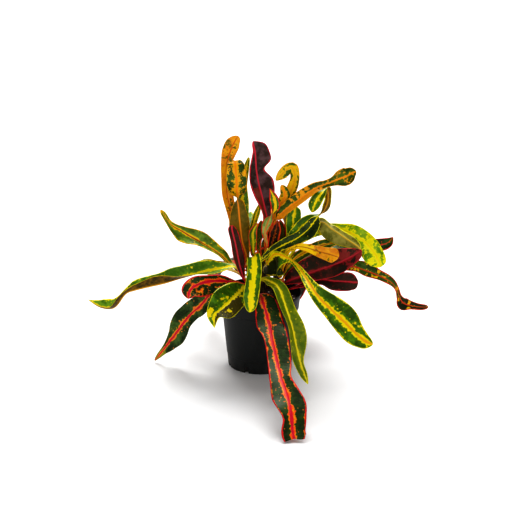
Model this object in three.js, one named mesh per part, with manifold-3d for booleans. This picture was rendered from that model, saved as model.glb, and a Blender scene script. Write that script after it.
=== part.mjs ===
// Croton (Codiaeum variegatum) in a black nursery pot, in millimetres, +Z up.
// The origin is the centre of the pot's foot, on the surface that the pot stands on.
import * as THREE from "three";
import { mergeVertices } from "three/addons/utils/BufferGeometryUtils.js";
import Module from "manifold-3d";

// ---- driving dimensions -------------------------------------------------
const POT_HEIGHT = 113; // foot to rim
const FOOT_RADIUS = 47.5;
const FOOT_BEVEL = 1.6;
const COLLAR_FOOT = 88; // where the wall steps out into the collar
const COLLAR_RADIUS = 56; // wall radius just under the collar
const COLLAR_STEP = [1.4, 1.2]; // the wall steps this far out and up
const COLLAR_INSIDE = [0.6, 0.13]; // and inside this far out at once, then per millimetre of height
const RIM_RADIUS = 61;
const RIM_BAND = 4; // height of the upright band at the rim
const RIM_ROUND = 1; // rounding of its outer edge
const RIM_INNER = [0.6, 0.8]; // rounding of its inner edge, across and down
const WALL = 1.8;
const FLOOR = 2;
const DRAIN_COUNT = 8; // holes in the floor, and as many notches in the foot
const DRAIN_TURN = 20; // degrees that the ring of holes is turned by
const DRAIN_HOLE = 3.5; // radius of a hole
const DRAIN_RING = 33; // and of the ring that they lie on
const DRAIN_NOTCH = [3.5, 11, 3.5]; // depth into the wall, width and height of a notch
const SOIL_TOP = 99;
const SOIL_RISE = 2.5; // the soil is this much higher in the middle
const SEAT = 0.3; // clear gap between pieces that touch on the real plant
const STEM_RADIUS = 4.7;
const STEM_FOOT = 46; // the stems reach down to here, in the soil
const SCAR_FIRST = 8; // height of the lowest leaf scar over the soil
const SCAR_STEP = 13; // and from each to the next
const SCAR_DEPTH = 0.5;
const SCAR_HALF = 0.8; // half the height of a scar
const PETIOLE_GAP = 0.45; // from the bark to the end of a petiole
const PETIOLE_ROOT = [1.6, 1.7]; // its half-width at the bark and at its elbow
const ELBOW = [4.5, 1.4]; // it leaves the bark this far out and up before it bends
const BLADE_EDGE = 0.9; // thickness of a leaf at its margin
const BLADE_RIB = 1.7; // and at its midrib
const PETIOLE = 2.6; // and of its stalk
const PETIOLE_THINS = 0.45; // share of that thickness lost towards the stalk's sides
const TIP_THICK = 1.2; // the most that the last stretch may have
const LEAST_HALF = 0.6; // half-width of the very tip
const STALK_WIDTH = 4; // a leaf narrower than this is all petiole, wider by BLADE_FADE it is all blade
const BLADE_FADE = 10;
const LONG_STRETCH = 14; // a stretch between stations longer than this gets two rows

// x and y of each woody stem and the height of its top
const STEMS = {
  left: [-15, -8, 156],
  back: [5, 20, 176],
  right: [24, -4, 154],
};

// colour, roughness of each kind of leaf
const KINDS = {
  gold: [0x7da02c, 0.32],
  goldred: [0x5c8a38, 0.32],
  red: [0x2e3a1c, 0.3],
  orange: [0xd8861c, 0.35],
  purple: [0x5a1c2c, 0.3],
  lemon: [0xd2cf3a, 0.34],
};

// ---- the leaves ---------------------------------------------------------
// Each row: name, stem, height of the joint on the stem, heading of the
// petiole in degrees, kind, [ripple of the margin: height, length, phase],
// then the stations from the petiole to the tip. A station is
// [x, y, z of the midrib, roll in degrees, half-width on the left and on the
// right of the midrib, fold of the two halves in degrees].
const LEAVES = [
  ["left_long", "left", 141, 181, "gold", [1.5, 60, 0], [
    [-39, -6, 153, -20, 5, 5, 10], [-67, -6, 148, -30, 11, 15, 20], [-91, -7, 143, -20, 14, 20, 28],
    [-115, -9, 137, -5, 15, 20, 38], [-139, -11, 130, 10, 15, 19, 52], [-161, -12, 125, 15, 14, 19, 60],
    [-183, -14, 120, 15, 11, 14, 55], [-197, -14, 114, 5, 7, 8, 35], [-214, -14, 93, -5, 14, 16, 38],
    [-233, -14, 93, -5, 11, 13, 34], [-252, -14, 105, -10, 5, 5, 8],
  ]],
  ["left_upper", "left", 147, 160, "goldred", [1.2, 50, 1], [
    [-43, 9, 152, -15, 3, 5, 10], [-56, 12, 163, -20, 8, 10, 25], [-70, 15, 173, -25, 11, 13, 30],
    [-88, 19, 183, -30, 13, 15, 28], [-103, 22, 191, -50, 15, 13, 15], [-115, 25, 198, -60, 15, 8, 10],
    [-127, 28, 204, -45, 9, 5, 15], [-135, 30, 211, -30, 6, 4, 15], [-141, 32, 221, -40, 5, 4, 12],
    [-146, 34, 228, -40, 4, 3, 6],
  ]],
  ["left_lower_red", "left", 112, 197, "red", [2.2, 30, 2], [
    [-35, -12, 124, -45, 3, 3, 5], [-66, -15, 120, -55, 10, 12, 10], [-88, -12, 94, -65, 13, 17, 10],
    [-100, -11, 83, -65, 12, 18, 12], [-112, -9, 68, -65, 12, 19, 12], [-125, -6, 48, -65, 17, 12, 12],
    [-137, -4, 32, -65, 13, 5, 12], [-146, -2, 19, -55, 7, 4, 15], [-158, 1, 2, -50, 3, 3, 5],
  ]],
  ["left_curl_red", "left", 126, 190, "red", [1.2, 40, 0], [
    [-35, -14, 132, -40, 3, 3, 5], [-58, -26, 138, -55, 14, 9, 10], [-76, -36, 140, -60, 20, 10, 10],
    [-92, -42, 137, -60, 20, 13, 10], [-101, -42, 128, -65, 13, 13, 10], [-103, -38, 115, -60, 7, 9, 8],
  ]],
  ["front_left_green", "left", 119, 238, "gold", [1.5, 45, 1], [
    [-22, -26, 130, -40, 4, 4, 5], [-32, -46, 126, -45, 17, 19, 12], [-44, -68, 121, -45, 20, 25, 14],
    [-55, -84, 116, -45, 20, 24, 15], [-64, -94, 110, -30, 9, 12, 15], [-64, -100, 94, -30, 2, 2, 5],
  ]],
  ["front_center", "left", 149, 275, "gold", [1, 50, 2], [
    [-14, -20, 167, 10, 4, 4, 5], [-9, -34, 177, 20, 10, 10, 8], [-8, -48, 162, 5, 11, 10, 10],
    [-10, -62, 146, 0, 11, 11, 12], [-12, -70, 131, 5, 11, 12, 12], [-13, -74, 118, 5, 9, 9, 8],
    [-14, -75, 108, 5, 6, 6, 3],
  ]],
  ["front_right_droop", "left", 127, 305, "gold", [1.2, 60, 0], [
    [4, -24, 140, 65, 3, 3, 5], [18, -44, 142, 35, 8, 9, 12], [28, -62, 137, 5, 11, 12, 20],
    [38, -84, 114, 0, 14, 14, 25], [46, -96, 91, -5, 17, 15, 32], [51, -106, 70, 0, 16, 14, 25],
    [57, -112, 48, 30, 5, 10, 10], [63, -116, 30, 30, 4, 7, 10], [68, -118, 16, 30, 2, 3, 5],
  ]],
  ["front_red_long", "left", 108, 288, "red", [1.2, 70, 1], [
    [1, -40, 120, 55, 5, 4, 0], [5, -66, 117, 20, 19, 12, 6], [13, -98, 99, 15, 21, 18, 5],
    [17, -126, 86, 15, 23, 11, 8], [25, -168, 65, 15, 19, 14, 8], [30, -194, 55, 20, 14, 17, 8],
    [36, -218, 45, 20, 18, 21, 8], [40, -236, 36, 15, 22, 18, 8], [42, -250, 25, 15, 20, 12, 8],
    [43, -262, 12, 10, 17, 15, 5], [45, -269, 5, 5, 16, 14, 4], [46, -262, 2, 5, 7, 7, 0],
  ]],
  ["right_lower_gold", "back", 149, 300, "gold", [1.2, 60, 2], [
    [9, -8, 158, 105, 3, 20, 5], [15, -17, 170, 120, 4, 30, 8], [24, -27, 180, 95, 5, 32, 14],
    [43, -50, 180, 95, 5, 6, 40], [56, -76, 175, 70, 6, 6, 35], [67, -104, 165, 55, 8, 7, 25],
    [80, -132, 153, 50, 14, 10, 15], [99, -156, 140, 45, 21, 13, 8], [115, -170, 129, 40, 21, 17, 8],
    [129, -182, 118, 45, 14, 17, 8], [141, -191, 111, 50, 9, 12, 5], [151, -198, 109, 55, 6, 8, 2],
  ]],
  ["mid_right_dark", "left", 155, 322, "gold", [1, 50, 0], [
    [3, -11, 166, 105, 3, 3, 5], [18, -6, 177, 100, 7, 6, 12], [38, -5, 188, 85, 9, 8, 12],
    [55, -5, 197, 85, 9, 11, 12], [70, -5, 210, 95, 10, 15, 12], [79, -3, 222, 100, 7, 11, 12],
    [85, -2, 229, 100, 3, 3, 5],
  ]],
  ["mid_right_curl", "right", 151, 15, "gold", [1, 50, 1], [
    [38, 2, 181, 40, 3, 3, 5], [52, 4, 201, 55, 9, 9, 15], [67, 7, 216, 55, 10, 9, 18],
    [82, 12, 223, 5, 8, 8, 20], [95, 26, 232, -75, 8, 6, 20], [100, 36, 245, -110, 5, 5, 10],
    [98, 36, 259, -150, 6, 6, 20], [88, 24, 253, -230, 8, 9, 12], [80, 22, 239, -245, 8, 10, 12],
    [76, 20, 228, -250, 5, 6, 8],
  ]],
  ["right_long_orange", "back", 166, 290, "orange", [1, 50, 0], [
    [9, 8, 200, -55, 3, 3, 5], [19, 9, 216, -110, 4, 4, 10], [32, 11, 230, -230, 9, 8, 20],
    [48, 11, 243, -240, 11, 8, 15], [77, 10, 265, -250, 10, 8, 20], [95, 11, 273, -250, 6, 6, 10],
    [106, 12, 277, -245, 7, 7, 8], [116, 13, 281, -240, 12, 12, 8], [126, 13, 285, -235, 13, 13, 6],
    [133, 14, 289, -230, 9, 9, 4], [139, 14, 291, -245, 5, 5, 2],
  ]],
  ["purple_upright", "back", 170, 0, "purple", [1.2, 40, 1], [
    [12, 22, 211, -90, 6, 6, 5], [8, 21, 231, -85, 9, 6, 12], [3, 20, 253, -85, 20, 11, 12],
    [-2, 19, 273, -85, 22, 12.5, 10], [-5, 18, 292, -90, 12, 10.5, 10], [-6, 18, 306, -90, 22.5, 7, 12],
    [-7, 18, 320, -90, 20, 3.5, 10], [-9, 18, 329, -85, 15, 2.5, 6], [-10, 18, 335, -85, 9, 1.5, 3],
  ]],
  ["crescent_red", "back", 173, 245, "goldred", [0.8, 40, 0], [
    [10, -6, 185, 10, 3, 3, 5], [7, -12, 207, 25, 4, 5, 12], [11, -14, 222, 20, 8, 8, 12],
    [17, -14, 234, -60, 6, 6, 12], [22, -13, 246, -145, 7, 7, 10], [20, -11, 259, -155, 7, 6, 8],
    [14, -8, 272, -150, 2, 2, 5],
  ]],
  ["tall_orange", "left", 148, 120, "orange", [1.2, 50, 2], [
    [-26, 8, 174, 120, 3, 3, 5], [-35, 16, 202, 10, 6, 6, 12], [-42, 26, 227, -10, 8, 8, 12],
    [-48, 33, 252, -15, 8, 9, 12], [-49, 37, 277, -25, 8, 8, 10], [-48, 39, 297, -30, 9, 7, 10],
    [-44, 39, 312, -35, 12, 9, 8], [-39, 38, 325, -40, 12, 10, 8], [-35, 38, 332, -40, 9, 7, 5],
    [-32, 38, 338, -40, 6, 6, 3],
  ]],
  ["upright_orange", "left", 154, 140, "orange", [1.2, 50, 0], [
    [-20, -2, 168, 130, 5, 5, 5], [-26, -3, 193, 135, 11, 15, 10], [-29, -3, 220, 130, 14, 16, 10],
    [-31, -1, 244, 110, 10, 11, 15], [-33, 2, 265, -30, 14, 14, 14], [-34, 5, 284, -50, 15, 16, 10],
    [-35, 9, 298, -50, 13, 14, 8], [-36, 14, 304, -35, 11, 11, 5], [-37, 20, 306, -30, 7, 7, 0],
  ]],
  ["red_upright_left", "left", 134, 205, "purple", [1, 40, 1], [
    [-25, -14, 142, 60, 3, 3, 5], [-30, -17, 164, 50, 9, 8, 12], [-34, -18, 187, 50, 9, 8, 12],
    [-38, -18, 205, 55, 8, 7, 12], [-40, -18, 214, 60, 6, 6, 8], [-40, -18, 220, 55, 5, 5, 5],
  ]],
  ["small_upright", "back", 168, 225, "goldred", [0.8, 30, 0], [
    [-9, -3, 172, -90, 5, 3, 5], [-10, -6, 189, -115, 7, 6, 20], [-10, -8, 207, -120, 7, 6, 20],
    [-3, -8, 220, -120, 4, 3, 10],
  ]],
  ["centre_red", "back", 160, 255, "red", [0.8, 40, 0], [
    [0, 4, 166, -130, 2, 3, 5], [-2, 3, 187, -155, 7, 4, 20], [0, 1, 207, -155, 7, 8, 20],
    [2, 0, 222, -160, 4, 4, 8],
  ]],
  ["thin_yellow_back", "back", 171, 150, "gold", [0.8, 40, 1], [
    [-15, 30, 189, -35, 4, 4, 15], [-10, 34, 206, -45, 5, 5, 18], [-5, 36, 222, -45, 5, 5, 15],
    [1, 38, 239, -35, 3, 3, 5],
  ]],
  ["tip_back_yellow", "left", 150, 95, "gold", [0.8, 40, 2], [
    [-20, 14, 188, 15, 3, 3, 5], [-25, 24, 231, 15, 9, 9, 15], [-25, 34, 267, 25, 7, 7, 20],
    [-20, 38, 292, 25, 5, 5, 12], [-16, 40, 306, 25, 4, 4, 5],
  ]],
  ["curly_top", "back", 164, 35, "orange", [1, 40, 0], [
    [18, 26, 207, 50, 3, 3, 5], [29, 30, 227, 50, 6, 6, 12], [39, 32, 245, 50, 7, 7, 12],
    [47, 34, 261, 50, 8, 8, 10], [51, 34, 277, 55, 7, 7, 8], [47, 33, 291, 70, 6, 9, 5],
    [40, 32, 290, 120, 8, 8, 5], [32, 30, 283, 125, 8, 7, 5], [23, 28, 274, 125, 4, 4, 5],
  ]],
  ["small_spoon", "back", 157, 325, "orange", [0.8, 30, 0], [
    [18, 20, 213, 120, 3, 3, 5], [27, 22, 233, 115, 6, 6, 12], [36, 20, 251, 120, 8, 9, 10],
    [35, 19, 261, 130, 6, 7, 8], [31, 18, 270, 130, 5, 5, 5],
  ]],
  ["green_upright_right", "right", 148, 70, "gold", [1, 50, 0], [
    [35, 12, 173, 20, 3, 3, 5], [46, 20, 192, 20, 8, 8, 12], [49, 22, 216, 15, 11, 11, 12],
    [51, 25, 229, 20, 9, 9, 8], [51, 26, 236, 20, 5, 5, 3],
  ]],
  ["big_right_pale", "right", 144, 30, "lemon", [1.5, 60, 0], [
    [47, 18, 179, 25, 4, 4, 5], [69, 24, 195, 155, 9, 8, 10], [89, 20, 213, 225, 16, 8, 8],
    [104, 14, 205, 260, 17, 8, 8], [118, 8, 197, 260, 16, 8, 10], [131, 4, 189, 260, 11, 9, 8],
    [141, 0, 183, 265, 7, 7, 5], [147, -2, 178, 265, 4, 4, 3],
  ]],
  ["big_lemon", "right", 141, 60, "lemon", [2.5, 28, 0], [
    [59, 34, 177, 25, 3, 3, 5], [77, 36, 190, 35, 6, 6, 10], [98, 34, 198, 45, 8, 8, 10],
    [115, 30, 199, 90, 9, 9, 10], [133, 25, 195, 125, 14, 12, 10], [149, 20, 187, 135, 15, 16, 12],
    [162, 16, 175, 145, 15, 18, 12], [171, 12, 163, 150, 13, 18, 10], [175, 10, 154, 150, 11, 14, 5],
    [177, 9, 147, 150, 8, 9, 2],
  ]],
  ["back_right_tip", "right", 137, 25, "red", [1.2, 50, 0], [
    [59, 14, 154, 5, 3, 3, 5], [104, 30, 164, 10, 11, 12, 15], [149, 44, 164, 20, 13, 12, 18],
    [180, 50, 168, 45, 10, 11, 18], [192, 52, 172, 50, 8, 8, 12], [199, 52, 180, 55, 3, 3, 5],
  ]],
  ["right_far_wavy", "right", 127, 12, "goldred", [1.2, 32, 0], [
    [59, 6, 135, 20, 3, 3, 5], [103, 14, 143, 30, 7, 6, 10], [135, 18, 145, 50, 10, 7, 10],
    [156, 21, 138, 65, 13, 9, 15], [178, 24, 128, 65, 9, 7, 15], [195, 26, 118, 70, 7, 5, 12],
    [204, 27, 107, 95, 4, 3, 10], [209, 28, 94, 95, 4, 5, 10], [215, 29, 84, 85, 9, 11, 10],
    [227, 30, 79, 70, 7, 6, 10], [241, 30, 77, 60, 5, 5, 8], [253, 30, 77, 60, 5, 5, 4],
  ]],
  ["dark_red_big", "right", 123, 335, "purple", [1.2, 60, 0], [
    [41, -16, 134, 65, 10, 5, 5], [58, -19, 142, 80, 19, 10, 10], [77, -20, 150, 80, 23, 14, 12],
    [106, -22, 161, 80, 24, 17, 12], [127, -22, 171, 85, 17, 13, 12], [140, -20, 178, 85, 9, 9, 5],
    [147, -20, 183, 90, 4, 4, 3],
  ]],
  ["dark_red_lower", "right", 114, 350, "purple", [1, 50, 1], [
    [59, -8, 124, 55, 3, 3, 5], [88, -6, 133, 60, 7, 8, 10], [108, -6, 131, 70, 11, 14, 10],
    [128, -6, 130, 70, 14, 14, 8], [138, -6, 129, 70, 11, 11, 5], [144, -6, 129, 70, 7, 8, 2],
  ]],
  ["orange_spoon", "right", 139, 320, "orange", [1.6, 26, 2], [
    [38, -22, 178, 85, 3, 3, 5], [52, -28, 190, 60, 4, 4, 15], [66, -33, 191, 50, 6, 6, 12],
    [80, -34, 187, 50, 7, 8, 10], [95, -35, 183, 60, 9, 10, 10], [105, -35, 180, 60, 11, 11, 6],
    [113, -35, 177, 55, 8, 7, 2],
  ]],
  ["right_green_behind", "right", 133, 0, "goldred", [1, 40, 1], [
    [42, -4, 154, 80, 3, 7, 5], [57, 3, 167, 55, 7, 8, 5], [76, 6, 176, 55, 8, 8, 10],
    [97, 8, 183, 50, 8, 8, 10], [114, 9, 184, 50, 4, 4, 4],
  ]],
  ["centre_dark", "back", 156, 285, "red", [0.8, 40, 1], [
    [13, 6, 170, 175, 3, 3, 5], [18, 5, 187, 165, 7, 8, 15], [23, 2, 206, 165, 8, 8, 15],
    [26, 0, 222, 160, 4, 4, 8],
  ]],
  ["centre_strip", "back", 152, 352, "red", [0.8, 40, 2], [
    [30, 24, 169, 85, 3, 3, 5], [35, 25, 184, 95, 8, 4, 15], [34, 23, 201, 100, 8, 5, 15],
    [29, 20, 217, 100, 4, 4, 6],
  ]],
  ["back_centre_dark", "back", 142, 20, "purple", [1, 50, 0], [
    [22, 24, 141, 70, 4, 12, 5], [39, 26, 145, 65, 12, 9, 10], [57, 32, 149, 65, 15, 16, 12],
    [73, 38, 158, 65, 12, 12, 8], [84, 42, 165, 65, 5, 5, 3],
  ]],
  ["back_low_right", "right", 119, 62, "red", [1.2, 55, 0], [
    [38, 28, 128, 0, 3, 3, 5], [50, 62, 135, 0, 14, 14, 15], [60, 104, 116, 0, 17, 16, 12],
    [62, 134, 84, 0, 14, 15, 10], [58, 154, 52, 0, 9, 10, 8], [52, 164, 28, 0, 2, 2, 0],
  ]],
  ["back_long", "back", 126, 88, "gold", [1.2, 60, 1], [
    [6, 42, 136, 0, 3, 3, 5], [10, 85, 148, 10, 15, 15, 15], [14, 138, 134, 25, 19, 18, 12],
    [10, 182, 100, 40, 17, 18, 10], [4, 212, 62, 45, 12, 11, 8], [0, 228, 34, 45, 2, 2, 0],
  ]],
  ["back_left_low", "left", 120, 118, "red", [1.2, 50, 2], [
    [-24, 12, 130, 0, 3, 3, 5], [-40, 50, 140, 0, 14, 14, 15], [-58, 95, 124, -10, 17, 18, 12],
    [-70, 128, 88, -20, 16, 15, 10], [-78, 148, 48, -20, 9, 10, 8], [-81, 158, 20, -20, 2, 2, 0],
  ]],
  ["back_left_mid", "left", 133, 146, "goldred", [1.2, 50, 0], [
    [-36, 6, 141, 0, 3, 3, 5], [-68, 34, 143, 0, 12, 12, 15], [-98, 62, 134, 0, 14, 14, 10],
    [-120, 86, 118, 5, 12, 12, 8], [-136, 104, 104, 5, 7, 7, 5], [-143, 112, 98, 5, 2, 2, 0],
  ]],
  ["back_left_arch", "left", 140, 108, "gold", [1.2, 50, 1], [
    [-19, 22, 160, 0, 3, 3, 5], [-22, 52, 188, 0, 12, 12, 20], [-24, 88, 198, -10, 16, 16, 12],
    [-28, 122, 184, -30, 15, 14, 10], [-34, 146, 154, -50, 9, 9, 10], [-38, 156, 132, -50, 2, 2, 0],
  ]],
  ["back_up_mid", "back", 160, 76, "orange", [1.2, 50, 2], [
    [9, 40, 188, 0, 3, 3, 5], [16, 66, 214, 0, 12, 12, 18], [24, 98, 222, 10, 15, 15, 12],
    [32, 128, 206, 30, 13, 14, 10], [38, 148, 178, 45, 8, 8, 10], [41, 157, 158, 45, 2, 2, 0],
  ]],
  ["back_right_mid", "back", 140, 50, "purple", [1.2, 50, 0], [
    [20, 42, 152, 0, 3, 3, 5], [48, 72, 158, 0, 13, 13, 18], [78, 104, 148, -10, 16, 17, 12],
    [102, 132, 124, -30, 14, 14, 10], [114, 150, 98, -45, 8, 8, 8], [119, 158, 84, -45, 2, 2, 0],
  ]],
];

// ---- helpers ------------------------------------------------------------
const rad = (degrees) => (degrees * Math.PI) / 180;
const wasm = await Module();
wasm.setup();

function solidOf(geometry) {
  geometry.deleteAttribute("normal");
  geometry.deleteAttribute("uv");
  const merged = mergeVertices(geometry, 1e-3);
  return new wasm.Manifold(
    new wasm.Mesh({
      numProp: 3,
      vertProperties: merged.attributes.position.array,
      triVerts: new Uint32Array(merged.index.array),
    }),
  );
}

function geometryOf(solid) {
  const mesh = solid.getMesh();
  const geometry = new THREE.BufferGeometry();
  geometry.setAttribute(
    "position",
    new THREE.BufferAttribute(mesh.vertProperties, mesh.numProp),
  );
  geometry.setIndex(new THREE.BufferAttribute(mesh.triVerts, 1));
  return geometry;
}

// A geometry from [x, y, z] points and a flat list of the corners of its triangles.
function geometryFrom(points, faces) {
  const geometry = new THREE.BufferGeometry();
  geometry.setAttribute(
    "position",
    new THREE.Float32BufferAttribute(points.flat(), 3),
  );
  geometry.setIndex(faces);
  return geometry;
}

const plant = new THREE.Group();
plant.name = "potted_croton";

function addPiece(name, geometry, color, roughness) {
  const flat = geometry.index ? geometry.toNonIndexed() : geometry;
  flat.computeVertexNormals();
  const mesh = new THREE.Mesh(
    flat,
    new THREE.MeshStandardMaterial({ color, roughness, metalness: 0 }),
  );
  mesh.name = name;
  plant.add(mesh);
}

// A solid turned about Z from [radius, height] points.
function turned(profile, segments) {
  const points = profile.map(([r, z]) => new THREE.Vector2(r, z));
  return new THREE.LatheGeometry(points, segments).rotateX(Math.PI / 2);
}

// An upright cylinder as a solid, to cut holes with.
function plug(radius, bottom, top, x, y, segments) {
  const geometry = new THREE.CylinderGeometry(
    radius,
    radius,
    top - bottom,
    segments,
  )
    .rotateX(Math.PI / 2)
    .translate(x, y, (top + bottom) / 2);
  return solidOf(geometry);
}

// ---- pot ----------------------------------------------------------------
// Inner radius of the wall at a height, which the soil follows.
function insideRadius(z) {
  const taper = (COLLAR_RADIUS - FOOT_RADIUS) / COLLAR_FOOT;
  const [step, flare] = COLLAR_INSIDE;
  const collar = z > COLLAR_FOOT ? step + (z - COLLAR_FOOT) * flare : 0;
  return FOOT_RADIUS - WALL + taper * z + collar;
}

function makePot() {
  const bandFoot = POT_HEIGHT - RIM_BAND;
  const [innerAcross, innerDown] = RIM_INNER;
  const profile = [
    [0, 0],
    [FOOT_RADIUS - FOOT_BEVEL, 0],
    [FOOT_RADIUS, FOOT_BEVEL],
    [COLLAR_RADIUS, COLLAR_FOOT],
    [COLLAR_RADIUS + COLLAR_STEP[0], COLLAR_FOOT + COLLAR_STEP[1]],
    [RIM_RADIUS - RIM_ROUND, bandFoot - 1.5 * RIM_ROUND],
    [RIM_RADIUS, bandFoot],
    [RIM_RADIUS, POT_HEIGHT - RIM_ROUND],
    [RIM_RADIUS - RIM_ROUND, POT_HEIGHT],
    [insideRadius(POT_HEIGHT) + innerAcross, POT_HEIGHT],
    [insideRadius(POT_HEIGHT), POT_HEIGHT - innerDown],
    [insideRadius(COLLAR_FOOT + 1), COLLAR_FOOT + 1],
    [insideRadius(COLLAR_FOOT - 2), COLLAR_FOOT - 2],
    [insideRadius(FLOOR), FLOOR],
    [0, FLOOR],
  ];
  let pot = solidOf(turned(profile, 36));
  for (let i = 0; i < DRAIN_COUNT; i++) {
    const turn = rad(DRAIN_TURN + (360 / DRAIN_COUNT) * i);
    const [x, y] = [DRAIN_RING * Math.cos(turn), DRAIN_RING * Math.sin(turn)];
    pot = pot.subtract(plug(DRAIN_HOLE, -1, FLOOR + 1, x, y, 12));
    // a block across the foot of the wall, half inside it and sunk below the foot
    const [deep, wide, high] = DRAIN_NOTCH;
    const notch = new THREE.BoxGeometry(2 * deep, wide, 2 * high)
      .translate(FOOT_RADIUS, 0, 0)
      .rotateZ(turn);
    pot = pot.subtract(solidOf(notch));
  }
  return geometryOf(pot);
}

// ---- soil ---------------------------------------------------------------
// A ring of points round the pot's axis, with its height given at each turn.
function ringOf(radius, spokes, heightAt) {
  const ring = [];
  for (let spoke = 0; spoke < spokes; spoke++) {
    const turn = (2 * Math.PI * spoke) / spokes;
    ring.push([radius * Math.cos(turn), radius * Math.sin(turn), heightAt(turn)]);
  }
  return ring;
}

// The mix is lumpy on top and a little higher in the middle, round the stems.
function makeSoil() {
  const [rings, spokes] = [5, 28];
  const points = [];
  for (let ring = 1; ring <= rings; ring++) {
    const share = ring / rings;
    const lumpy = ring < rings ? 1 : 0; // level where it meets the wall
    const height = (turn) =>
      SOIL_TOP +
      SOIL_RISE * (1 - share) +
      lumpy * (Math.sin(3 * turn + 1.9 * ring) + Math.cos(7 * turn - ring));
    const radius = (insideRadius(SOIL_TOP) - SEAT) * share;
    points.push(...ringOf(radius, spokes, height));
  }
  for (const z of [COLLAR_FOOT - 2, FLOOR + SEAT])
    points.push(...ringOf(insideRadius(z) - SEAT, spokes, () => z));
  const rows = rings + 2;
  const [peak, middle] = [rows * spokes, rows * spokes + 1];
  points.push([0, 0, SOIL_TOP + SOIL_RISE], [0, 0, FLOOR + SEAT]);

  const faces = [];
  for (let spoke = 0; spoke < spokes; spoke++) {
    const next = (spoke + 1) % spokes;
    faces.push(peak, spoke, next);
    for (let row = 0; row < rows - 1; row++) {
      const [a, b] = [row * spokes + spoke, row * spokes + next];
      faces.push(a, a + spokes, b + spokes, a, b + spokes, b);
    }
    const last = (rows - 1) * spokes;
    faces.push(middle, last + next, last + spoke);
  }
  let soil = solidOf(geometryFrom(points, faces));
  const [holeRadius, holeFoot] = [STEM_RADIUS + SEAT, STEM_FOOT - SEAT];
  for (const [x, y] of Object.values(STEMS))
    soil = soil.subtract(plug(holeRadius, holeFoot, POT_HEIGHT, x, y, 16));
  return geometryOf(soil);
}

// ---- stems --------------------------------------------------------------
// A short woody stem with a shallow groove at each old leaf scar and a bud.
function makeStem([x, y, top]) {
  const profile = [
    [0, STEM_FOOT],
    [STEM_RADIUS, STEM_FOOT],
  ];
  for (let z = SOIL_TOP + SCAR_FIRST; z < top - SCAR_FIRST; z += SCAR_STEP)
    profile.push(
      [STEM_RADIUS, z - SCAR_HALF],
      [STEM_RADIUS - SCAR_DEPTH, z],
      [STEM_RADIUS, z + SCAR_HALF],
    );
  // the bud: radius and height over the top of the wood
  for (const [r, rise] of [[STEM_RADIUS, -2.5], [3.2, 0], [1.9, 5], [0, 11]])
    profile.push([r, top + rise]);
  return turned(profile, 12).translate(x, y, 0);
}

// ---- leaves -------------------------------------------------------------
const SPREAD = [-1, -0.5, 0, 0.5, 1]; // places across a blade
const TIP_ROWS = [0.4, 0.75, 0.94, 1]; // places along the last stretch, which is rounded off
const RIPPLE_LAG = 2.1; // the left margin's waves come this many radians after the right one's
const RIPPLE_POWER = 1.5; // the waves die out towards the midrib by this power
const NUDGE = 1e-3; // a stretch this short gives the direction at a place

// A smooth curve through the stations, in all their numbers at once.
function along(stations, s) {
  const last = stations.length - 1;
  const i = Math.min(Math.floor(s), last - 1);
  const t = s - i;
  const mirror = (a, b) => a.map((v, k) => 2 * v - b[k]);
  const p1 = stations[i];
  const p2 = stations[i + 1];
  const p0 = i > 0 ? stations[i - 1] : mirror(p1, p2);
  const p3 = i < last - 1 ? stations[i + 2] : mirror(p2, p1);
  return p1.map((v, k) => {
    const m1 = (p2[k] - p0[k]) / 2;
    const m2 = (p3[k] - v) / 2;
    const a = 2 * v - 2 * p2[k] + m1 + m2;
    const b = -3 * v + 3 * p2[k] - 2 * m1 - m2;
    return ((a * t + b) * t + m1) * t + v;
  });
}

// Where the rows of a leaf lie: one at each station and one more in a long
// stretch between two, closer at the tip.
function rowsAlong(stations) {
  const end = stations.length - 1;
  const rows = [];
  for (let i = 0; i < end - 1; i++) {
    const [a, b] = [stations[i], stations[i + 1]];
    const stretch = Math.hypot(b[0] - a[0], b[1] - a[1], b[2] - a[2]);
    rows.push(i, ...(stretch > LONG_STRETCH ? [i + 0.5] : []));
  }
  return [...rows, end - 1, ...TIP_ROWS.map((t) => end - 1 + t)];
}

// The points round one row of a leaf, along its upper face and back along the
// lower one. frame holds the place of the midrib and three directions there.
function rowRound(frame, halves, fold, wave, inTip) {
  const width = halves[0] + halves[1];
  const blade = Math.min(1, Math.max(0, (width - STALK_WIDTH) / BLADE_FADE));
  const upper = [];
  const lower = [];
  for (const v of SPREAD) {
    const reach = Math.abs(v) * halves[v > 0 ? 1 : 0];
    const ripple = blade * Math.abs(v) ** RIPPLE_POWER * wave(v > 0);
    const stalk = PETIOLE * (1 - PETIOLE_THINS * Math.abs(v));
    const sheet = v === 0 ? BLADE_RIB : BLADE_EDGE;
    let thick = (1 - blade) * stalk + blade * sheet;
    if (inTip) thick = Math.min(thick, TIP_THICK);
    const centre = frame.at
      .clone()
      .addScaledVector(frame.side, Math.sign(v) * reach * Math.cos(fold))
      .addScaledVector(frame.face, reach * Math.sin(fold) + ripple);
    upper.push(centre.clone().addScaledVector(frame.face, thick / 2));
    lower.unshift(centre.clone().addScaledVector(frame.face, -thick / 2));
  }
  return [...upper, ...lower];
}

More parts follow.
